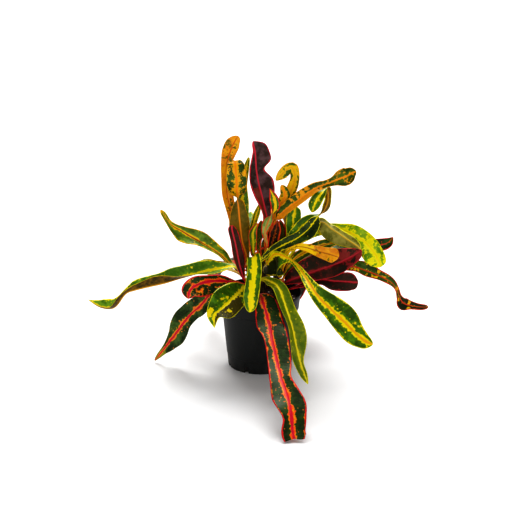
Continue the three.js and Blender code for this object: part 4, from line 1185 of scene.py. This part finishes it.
for number, leaf in enumerate(LEAVES):
    name, _, _, _, kind, (ripple_height, ripple_length, phase), _ = leaf
    blade = grown(
        "blade_" + name,
        spine_of(leaf),
        blade_tree,
        Ripple_height=ripple_height * MM,
        Ripple_length=ripple_length * MM,
        Ripple_phase=float(phase),
        Seed=float(number),
        Skin=leaf_skin(name, kind, float(number)),
    )
    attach(blade, "root")
    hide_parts("leaf_" + name)
    "leaf_" + kind
    if number % REPORT_EVERY == 0:
        print(blade.name, len(blade.data.polygons), "faces,", round(volume_cm3(blade.data), 2), "cm3")

# %% [markdown]
# ## The pot
#
# The pot is a thin-walled nursery pot of black plastic. Such a pot is the same all round, so it is turned
# from one profile instead of being modelled face by face. Its wall widens evenly up to a collar, which
# steps out to a rim band. All measures are millimetres.

# %% Measures of the pot
POT_HEIGHT = 113
FOOT_RADIUS = 47.5
COLLAR_FOOT = 88
COLLAR_RADIUS = 56
RIM_RADIUS = 61
WALL = 1.8
FLOOR_THICK = 2
COLLAR_STEP = 0.6  # how much wider the inside gets where the collar begins
COLLAR_FLARE = 0.13  # and by how much more for each millimetre above that
TAPER = (COLLAR_RADIUS - FOOT_RADIUS) / COLLAR_FOOT


def wall_radius(z):
    """Outer radius of the wall at a height, below the collar."""
    return FOOT_RADIUS + TAPER * z


def inside_radius(z):
    """Inner radius of the wall at a height."""
    collar = (z - COLLAR_FOOT) * COLLAR_FLARE + COLLAR_STEP if z > COLLAR_FOOT else 0
    return wall_radius(z) - WALL + collar


print("wall from", inside_radius(0), "to", wall_radius(0), "mm at the foot")

# %% [markdown]
# A moulded pot has no sharp corner. `rounded` puts a small curve in place of each corner of a profile.
# `turned` sets the profile up all round the axis, as a lathe would, and joins neighbours to faces. A
# point on the axis is made only once, so the body is closed there.

# %% Rounded profiles, turned about the axis
CORNER_STEPS = 6


def rounded(corners):
    """A smooth profile through corners of radius, height and rounding."""
    path = []
    for i, (r, z, bend) in enumerate(corners):
        here = Vector((r, z))
        if bend == 0:
            path.append(here)
            continue
        before, after = (Vector(corners[i + d][:2]) - here for d in (-1, 1))
        start, end = here + before.normalized() * bend, here + after.normalized() * bend
        for k in range(CORNER_STEPS + 1):
            t = k / CORNER_STEPS
            path.append(start * (1 - t) ** 2 + here * (2 * t * (1 - t)) + end * t * t)
    return path


def turned(name, path, segments):
    """A closed mesh turned about Z from a profile that starts and ends on the axis."""
    points, rings = [], []
    for r, z in path:
        count = segments if r > 0 else 1
        turns = [TURN * k / segments for k in range(count)]
        rings.append([len(points) + k for k in range(count)])
        points += [(r * math.cos(a) * MM, r * math.sin(a) * MM, z * MM) for a in turns]
    faces = []
    for low, high in zip(rings, rings[1:]):
        for k in range(segments):
            n = (k + 1) % segments
            corners = [low[k % len(low)], low[n % len(low)], high[n % len(high)], high[k % len(high)]]
            faces.append([c for j, c in enumerate(corners) if c != corners[j - 1]])
    mesh = bpy.data.meshes.new(name)
    mesh.from_pydata(points, [], faces)
    mesh.shade_smooth()
    return mesh


print("each corner gets", CORNER_STEPS + 1, "points")

# %% [markdown]
# Each row of the profile is a corner: radius, height and how far the corner is rounded. The line runs
# from the middle of the floor's underside, up the outside, over the rim and down the inside. A faint step
# goes round near the foot.

# %% Profile of the pot
FOOT_STEP = 19  # height of the faint step
STEP_OUT = 0.5
POT_SEGMENTS = 144

pot_profile = rounded(
    [
        (0, 0.7, 0),
        (FOOT_RADIUS - 5, 0.7, 0.6),
        (FOOT_RADIUS - 4, 0, 0.5),
        (FOOT_RADIUS - 0.6, 0, 0.5),
        (wall_radius(1) - 0.2, 1.2, 0.6),
        (wall_radius(FOOT_STEP) - STEP_OUT, FOOT_STEP, 0.3),
        (wall_radius(FOOT_STEP + 1), FOOT_STEP + 1, 0.4),
        (COLLAR_RADIUS, COLLAR_FOOT, 0.4),
        (COLLAR_RADIUS + 1.5, COLLAR_FOOT + 0.8, 0.7),
        (RIM_RADIUS - 1.4, POT_HEIGHT - 5.5, 0.6),
        (RIM_RADIUS, POT_HEIGHT - 4.5, 0.8),
        (RIM_RADIUS, POT_HEIGHT, 1.4),
        (inside_radius(POT_HEIGHT), POT_HEIGHT, 1.0),
        (inside_radius(COLLAR_FOOT + 1), COLLAR_FOOT + 1, 0.8),
        (inside_radius(COLLAR_FOOT - 2), COLLAR_FOOT - 2, 0.8),
        (inside_radius(FLOOR_THICK), FLOOR_THICK, 1.2),
        (0, FLOOR_THICK, 0),
    ]
)
pot_mesh = turned("pot", pot_profile, POT_SEGMENTS)
print("pot", len(pot_mesh.polygons), "faces,", round(volume_cm3(pot_mesh), 1), "cm3 of plastic")

# %% [markdown]
# Water leaves through a ring of holes in the floor and through notches where the floor meets the wall. A
# tree sets a cutter on every point of a circle and takes them all away from the pot in one go.

# %% Drain holes
DRAIN_COUNT = 8
DRAIN_TURN = math.radians(20)
DRAIN_RING = 33 * MM
DRAIN_RADIUS = 3.5 * MM
NOTCH = (11 * MM, 7 * MM, 5 * MM)
NOTCH_HEIGHT = 1 * MM
CUT_DEPTH = 8 * MM
HOLE_SIDES = 24

drain_tree, given, result = new_tree(
    "pot_drains",
    "Geometry",
    {"Pot": "Geometry", "Count": DRAIN_COUNT, "Turn": DRAIN_TURN, "Skin": "Material"},
    {"Drained": "Geometry"},
)


def cutters(radius, shape, height):
    """The shape on every point of a circle, turned to face outwards."""
    ring = add_node(drain_tree, "MeshCircle", {"Vertices": given["Count"], "Radius": radius}, "Mesh")
    around = combined(drain_tree, 0.0, 0.0, given["Turn"])
    lift = {"Geometry": ring, "Rotation": around, "Translation": (0, 0, height)}
    ring = add_node(drain_tree, "Transform", lift)
    outward = add_node(drain_tree, "InputPosition") * (1, 1, 0)
    facing = add_node(drain_tree, "AlignRotationToVector", {"Vector": outward}, axis="X")
    feeds = {"Points": ring, "Instance": shape, "Rotation": facing}
    placed = add_node(drain_tree, "InstanceOnPoints", feeds, "Instances")
    return add_node(drain_tree, "RealizeInstances", {"Geometry": placed})


hole_size = {"Vertices": HOLE_SIDES, "Radius": DRAIN_RADIUS, "Depth": CUT_DEPTH}
hole = add_node(drain_tree, "MeshCylinder", hole_size, "Mesh")
notch = add_node(drain_tree, "MeshCube", {"Size": NOTCH}, "Mesh")
pot_cut = given["Pot"]
for radius, shape, height in ((DRAIN_RING, hole, 0), (FOOT_RADIUS * MM, notch, NOTCH_HEIGHT)):
    feeds = {0: pot_cut, 1: cutters(radius, shape, height)}
    pot_cut = add_node(drain_tree, "MeshBoolean", feeds, "Mesh", operation="DIFFERENCE")
end_tree(pot_cut, given["Skin"], result)
print(DRAIN_COUNT, "holes and notches")

# %% [markdown]
# Black plastic is never quite even. It is scuffed to a dark grey in places, dust sits on it in flecks,
# and a little soil has splashed up from the ground. Noise and small cells over the place on the object
# make all three, so no picture has to be wrapped round the pot.

# %% Black plastic
PLASTIC = screen("141615")
PLASTIC_WORN = screen("2c2f2d")
DUST = screen("6a6459")
SMEAR_STRETCH = (0.05, 0.05, 0.012)  # long in height, so the smears run up and down
FLECK_RADIUS = 0.16  # of a cell
SPLASH_HEIGHT = 26.0  # millimetres above the ground
PLASTIC_SPECULAR = 0.35


def place_mm(tree):
    """The place on the object, in millimetres."""
    return add_node(tree, "TexCoord", out="Object").scaled(1 / MM)


plastic, tree = new_material("black_plastic")
place = place_mm(tree)
fine = noise_at(tree, place, 1.4, 4.0)
smear = noise_at(tree, place * SMEAR_STRETCH, 1.0, 3.0)
flecks = add_node(tree, "TexVoronoi", {"Vector": place, "Scale": 0.55}, "Distance")
fleck = flecks.under(FLECK_RADIUS).ramp(0.0, 0.08) * fine.ramp(0.5, 0.6)
splash_up = place.part("Z").ramp(SPLASH_HEIGHT, 0.0) * smear.ramp(0.4, 0.7)
worn = blend(tree, fine.ramp(0.5, 0.8) * 0.5 + smear.ramp(0.5, 0.7) * 0.35, PLASTIC, PLASTIC_WORN)
dusty = blend(tree, (fleck * 0.5 + splash_up * 0.22).calc("MINIMUM", 1.0), worn, DUST)
shader = finish_paint(tree, dusty, fine * 0.2 + smear * 0.16 + 0.34, fine * 0.12 + smear * 0.1, 0.8)
shader.inputs["Specular IOR Level"].default_value = PLASTIC_SPECULAR
print(len(tree.nodes), "nodes in the plastic")

# %% [markdown]
# The turned mesh, the tree that cuts the holes and the plastic come together in one piece, which takes
# the place of the measured pot.

# %% The finished pot
pot = grown("nursery_pot", pot_mesh, drain_tree, Count=DRAIN_COUNT, Turn=DRAIN_TURN, Skin=plastic)
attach(pot, "root")
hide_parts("pot")
print(pot.name, len(pot.data.polygons), "faces,", round(volume_cm3(pot.data), 1), "cm3")

# %% [markdown]
# ## The soil
#
# The mix fills the pot to a finger's width under the rim. Its body is turned like the pot, with many
# rings across the top, because the top is about to be made lumpy. It rises a little towards the middle.

# %% Body of the soil
SOIL_TOP = 99
SEAT = 0.3  # between the soil and the pot
SOIL_RISE = 2.5
SOIL_RINGS = 34
SOIL_SEGMENTS = 128

soil_profile = [(0, FLOOR_THICK + SEAT), (inside_radius(FLOOR_THICK) - SEAT - 1, FLOOR_THICK + SEAT)]
soil_reach = inside_radius(SOIL_TOP) - SEAT
soil_profile += [(inside_radius(z) - SEAT, z) for z in (FLOOR_THICK + 1.5, COLLAR_FOOT - 2, SOIL_TOP - 1)]
for k in range(SOIL_RINGS):
    share_in = 1 - k / SOIL_RINGS
    soil_profile.append((soil_reach * share_in, SOIL_TOP + SOIL_RISE * (1 - share_in)))
soil_profile.append((0, SOIL_TOP + SOIL_RISE))
soil_mesh = turned("soil", soil_profile, SOIL_SEGMENTS)
print("soil", len(soil_mesh.polygons), "faces,", round(volume_cm3(soil_mesh)), "cm3")

# %% [markdown]
# Watered mix settles into lumps, with grains on them. The tree lifts and lowers the points of the top by
# a broad noise and a fine one. Both fade out towards the wall, where the top is lowest.

# %% Lumps and grains
SOIL_LUMP = 3.0 * MM
SOIL_GRAIN = 1.1 * MM
LUMP_SCALE = 70.0
GRAIN_SCALE = 330.0

lump_tree, given, result = new_tree(
    "soil_lumps",
    "Geometry",
    {"Soil": "Geometry", "Lump": SOIL_LUMP, "Grain": SOIL_GRAIN, "Skin": "Material"},
    {"Lumpy": "Geometry"},
)
place = add_node(lump_tree, "InputPosition")
broad = noise_at(lump_tree, place, LUMP_SCALE, 2.0) - 0.5
grain = noise_at(lump_tree, place, GRAIN_SCALE, 3.0) - 0.5
on_top = (place.part("Z") - SOIL_TOP * MM).ramp(-0.2 * MM, 1.0 * MM)
rise = (broad * given["Lump"] + grain * given["Grain"]) * on_top * 2.0
feeds = {"Geometry": given["Soil"], "Offset": combined(lump_tree, 0.0, 0.0, rise)}
end_tree(add_node(lump_tree, "SetPosition", feeds), given["Skin"], result)
print("lumps of", SOIL_LUMP / MM, "mm and grains of", SOIL_GRAIN / MM, "mm")

# %% [markdown]
# Peat is nearly black where it is moist and brown where it has dried, with pale fibres in it. A slow
# noise picks between the two browns, and a fine one sprinkles the fibres.

# %% Colours of the soil
peat, tree = new_material("peat")
place = place_mm(tree)
clod = noise_at(tree, place, 0.35, 4.0)
fine = noise_at(tree, place, 2.5, 3.0)
peat_color = blend(tree, clod.ramp(0.35, 0.65), screen("1a120c"), screen("3b2a1c"))
peat_color = blend(tree, fine.ramp(0.62, 0.72) * 0.7, peat_color, screen("6b5238"))
finish_paint(tree, peat_color, fine * 0.2 + 0.8, fine * 0.5 + clod * 0.4, 1.0)

soil = grown("potting_soil", soil_mesh, lump_tree, Lump=SOIL_LUMP, Grain=SOIL_GRAIN, Skin=peat)
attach(soil, "root")
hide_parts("soil")
print(soil.name, "is", round(volume_cm3(soil.data)), "cm3")

# %% [markdown]
# Loose crumbs, perlite and bark lie on top of the mix. They follow one rule, so one tree strews them all:
# it scatters points over the upper side with a fixed seed, sets a small pebble on each, and lets every
# pebble differ in size, turn and flatness. Noise then moves the points of the pebbles, so that none stays
# round.

# %% Points to strew on
STEEPEST = 0.55  # upward part of the normal, so nothing lies on the walls
STREW_DEPTH = 4  # millimetres under the top that may still be strewn

strew_tree, given, result = new_tree(
    "strewn_soil",
    "Geometry",
    {
        "Ground": "Geometry",
        "Density": 9e4,
        "Spacing": 2 * MM,
        "Smallest": 0.6 * MM,
        "Largest": 1.6 * MM,
        "Flatness": 0.8,
        "Seed": 1,
        "Skin": "Material",
    },
    {"Strewn": "Geometry"},
)
place = add_node(strew_tree, "InputPosition")
upward = add_node(strew_tree, "InputNormal").part("Z").calc("GREATER_THAN", STEEPEST)
on_top = upward * place.part("Z").calc("GREATER_THAN", (SOIL_TOP - STREW_DEPTH) * MM)
feeds = {"Mesh": given["Ground"], "Selection": on_top, "Seed": given["Seed"]}
feeds |= {"Distance Min": given["Spacing"], "Density Max": given["Density"]}
scattered = add_node(strew_tree, "DistributePointsOnFaces", feeds, "Points", distribute_method="POISSON")
print("strewn from", SOIL_TOP - STREW_DEPTH, "mm up")

# %% [markdown]
# Every pebble starts as the same coarse ball. Its size, stretch and turn are drawn by the number of its
# point, so they stay the same whenever the script runs. The noise that dents it reads the place in the
# soil, so two pebbles side by side are dented differently.

# %% Pebbles on the points
JAG_SCALE = 700.0


def random_of(kind, low, high, salt):
    """A random value for each point, between two limits."""
    feeds = {"Min": low, "Max": high, "Seed": given["Seed"] + salt}
    return add_node(strew_tree, "RandomValue", feeds, "Value", data_type=kind)


pebble = add_node(strew_tree, "MeshIcoSphere", {"Radius": 1.0, "Subdivisions": 1}, "Mesh")
size = random_of("FLOAT", given["Smallest"], given["Largest"], 3.0)
stretch = random_of("FLOAT_VECTOR", (0.7, 0.7, 0.6), (1.35, 1.1, 1.0), 5.0)
turn = random_of("FLOAT_VECTOR", (-0.5, -0.5, 0), (0.5, 0.5, TURN), 7.0)
scale = (stretch * combined(strew_tree, 1.0, 1.0, given["Flatness"])).scaled(size)
feeds = {"Points": scattered, "Instance": pebble, "Rotation": turn, "Scale": scale}
placed = add_node(strew_tree, "InstanceOnPoints", feeds, "Instances")
pebbles = add_node(strew_tree, "RealizeInstances", {"Geometry": placed})
jagged = add_node(strew_tree, "TexNoise", {"Vector": place, "Scale": JAG_SCALE}, "Color")
knobbly = (jagged - (0.5, 0.5, 0.5)).scaled(given["Smallest"])
pebbles = add_node(strew_tree, "SetPosition", {"Geometry": pebbles, "Offset": knobbly})
end_tree(pebbles, given["Skin"], result)
print(len(strew_tree.nodes), "nodes in the tree that strews")

# %% [markdown]
# Three kinds of bits lie loose on a potting mix: dark crumbs of peat, white perlite, and flat brown chips
# of bark. Each row below is one kind: how many there may be on a square metre, then spacing, smallest and
# largest radius in millimetres, flatness, and the material.

# %% Crumbs, perlite and bark


def pebble_skin(name, dark, light, roughness):
    """A rough stone or chip, lighter on some pebbles than on others."""
    material, tree = new_material(name)
    place = place_mm(tree)
    fine = noise_at(tree, place, 1.8, 3.0)
    clod = noise_at(tree, place, 0.12, 1.0)
    color = blend(tree, (fine * 0.5 + clod * 0.9).ramp(0.5, 0.9), screen(dark), screen(light))
    finish_paint(tree, color, fine * 0.15 + roughness, fine * 0.3, 0.9)
    return material


STREWN = {
    "crumbs": (9e4, 2.0, 0.6, 1.6, 0.8, pebble_skin("crumb", "1c130c", "49341f", 0.85)),
    "perlite": (3e4, 7.0, 0.9, 2.0, 0.9, pebble_skin("perlite", "b9b3a4", "ece8dd", 0.7)),
    "bark_chips": (3e4, 8.5, 1.6, 3.6, 0.35, pebble_skin("bark_chip", "3a2213", "7a5230", 0.75)),
}
for seed, (name, (density, spacing, smallest, largest, flatness, skin)) in enumerate(STREWN.items()):
    piece = grown(
        "soil_" + name,
        soil.data.copy(),
        strew_tree,
        Density=density,
        Spacing=spacing * MM,
        Smallest=smallest * MM,
        Largest=largest * MM,
        Flatness=flatness,
        Seed=seed + 1,
        Skin=skin,
    )
    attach(piece, "root")
    print(piece.name, len(piece.data.polygons), "faces,", round(volume_cm3(piece.data), 2), "cm3")

# %% [markdown]
# ## The stems
#
# A croton drops its lower leaves, and each one leaves a scar on the bark. The scars climb the stem by the
# golden angle, as the leaves did. A tree bends a grid into a tube, thickens it a little round every scar,
# presses the scar into it, wrinkles the bark, and draws the top in to a bud. The row at the foot and the
# row at the tip shrink to points, which merge, so the stem is closed.

# %% Tube and scars of a stem
GOLDEN_ANGLE = math.radians(137.5)
STEM_FOOT = 46
SCAR_GAP = 6.5 * MM
SCAR_WIDE = 3.2 * MM
SCAR_HIGH = 1.7 * MM
STEM_COLUMNS = 49
STEM_ROWS = 190

stem_tree, given, result = new_tree(
    "croton_stem",
    "Geometry",
    {
        "Point": "Geometry",
        "Foot": "Vector",
        "Length": 120 * MM,
        "Radius": STEM_RADIUS * MM,
        "Scar gap": SCAR_GAP,
        "Seed": 0.0,
        "Skin": "Material",
    },
    {"Stem": "Geometry"},
)
feeds = {"Size X": TURN, "Size Y": 1.0, "Vertices X": STEM_COLUMNS, "Vertices Y": STEM_ROWS}
tube = add_node(stem_tree, "MeshGrid", feeds, "Mesh")
place = add_node(stem_tree, "InputPosition")
turn = place.part("X")
rise = (place.part("Y") + 0.5) * given["Length"]
scar_number = (rise / given["Scar gap"]).calc("FLOOR")
scar_rise = rise - (scar_number + 0.5) * given["Scar gap"]
scar_turn = (turn - scar_number * GOLDEN_ANGLE - given["Seed"] * 2.0).calc("WRAP", math.pi, -math.pi)
scar_reach = combined(stem_tree, scar_turn * given["Radius"] / SCAR_WIDE, scar_rise / SCAR_HIGH)
scar_far = scar_reach.length()
scar = scar_far.ramp(1.1, 0.7)
lip = scar_far.ramp(1.7, 1.1) - scar * 1.6
print("a scar every", SCAR_GAP / MM, "mm")

# %% [markdown]
# The radius of the stem is worked out next, for every point of the tube: the plain radius, the lip round
# each scar, and wrinkles from noise that runs round the stem without a seam. Both ends fall to nothing,
# the top one as a rounded bud.

# %% Bark, bud and closed ends
BUD = 11  # length of the bud on top of the stem
BUD_SHARE = 0.58  # thickness of the bud, of the stem's
SCAR_RELIEF = 0.45 * MM
WRINKLE = 0.5 * MM
WRINKLE_RISE = 0.35 / MM  # wrinkles are longer than wide
STEM_MERGE = 1e-5


def round_stem(radius, height):
    """A place at a radius from the stem's middle, in the direction of the tube's point."""
    return combined(stem_tree, turn.calc("COSINE") * radius, turn.calc("SINE") * radius, height)


wrinkle_place = round_stem(STEM_RADIUS, rise * WRINKLE_RISE + given["Seed"] * 40.0)
wrinkled = noise_at(stem_tree, wrinkle_place, 0.55, 4.0) - 0.5
tip_run = ((rise - given["Length"]) / (BUD * MM) + 1.0).calc("MAXIMUM", 0.0)
shoulder = (rise - given["Length"]).ramp(-(BUD + 4) * MM, -(BUD - 1) * MM, 1.0, BUD_SHARE)
ends = (tip_run * tip_run).under(1.0).calc("MAXIMUM", 0.0).calc("SQRT") * rise.ramp(0.0, 1 * MM)
relief = (lip * SCAR_RELIEF + wrinkled * WRINKLE) * ends * shoulder
bent = round_stem(given["Radius"] * (shoulder * ends) + relief, rise) + given["Foot"]
bark_body = add_node(stem_tree, "SetPosition", {"Geometry": stored(tube, "scar", scar), "Position": bent})
bark_body = add_node(stem_tree, "MergeByDistance", {"Geometry": bark_body, "Distance": STEM_MERGE})
bark_body = add_node(stem_tree, "SetShadeSmooth", {"Geometry": bark_body})
end_tree(bark_body, given["Skin"], result)
print(len(stem_tree.nodes), "nodes in the stem's tree")

# %% [markdown]
# Old bark is grey-brown and corky. Towards the top the stem is still green, and the scars are pale.

# %% Bark
BARK_STRETCH = (1.0, 1.0, 0.22)  # long in height, so the streaks run along the stem

bark, tree = new_material("bark")
place = place_mm(tree)
streak = noise_at(tree, place * BARK_STRETCH, 0.6, 4.0)
fine = noise_at(tree, place, 2.2, 3.0)
bark_color = blend(tree, streak.ramp(0.35, 0.65), screen("2c2116"), screen("6a5638"))
young = (place.part("Z") + streak * 30.0).ramp(145.0, 185.0)
bark_color = blend(tree, young * 0.8, bark_color, screen("4a5a18"))
bark_color = blend(tree, stored_value(tree, "scar") * 0.55, bark_color, screen("8a7452"))
finish_paint(tree, bark_color, fine * 0.2 + 0.55, fine * 0.3 + streak * 0.3, 0.9)
print(len(tree.nodes), "nodes in the bark")

# %% [markdown]
# The tube comes from the tree alone, so each stem starts as a mesh of a single point. Foot, length and
# seed make the three of them differ.

# %% The three stems
for seed, (name, (x, y, top)) in enumerate(STEMS.items()):
    seedling = bpy.data.meshes.new("seedling")
    seedling.from_pydata([(0, 0, 0)], [], [])
    stem = grown(
        "woody_stem_" + name,
        seedling,
        stem_tree,
        Foot=(x * MM, y * MM, STEM_FOOT * MM),
        Length=(top + BUD - STEM_FOOT) * MM,
        Radius=STEM_RADIUS * MM,
        Scar_gap=SCAR_GAP,
        Seed=float(seed),
        Skin=bark,
    )
    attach(stem, "root")
    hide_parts("stem_" + name)
    print(stem.name, len(stem.data.polygons), "faces,", round(volume_cm3(stem.data), 2), "cm3")
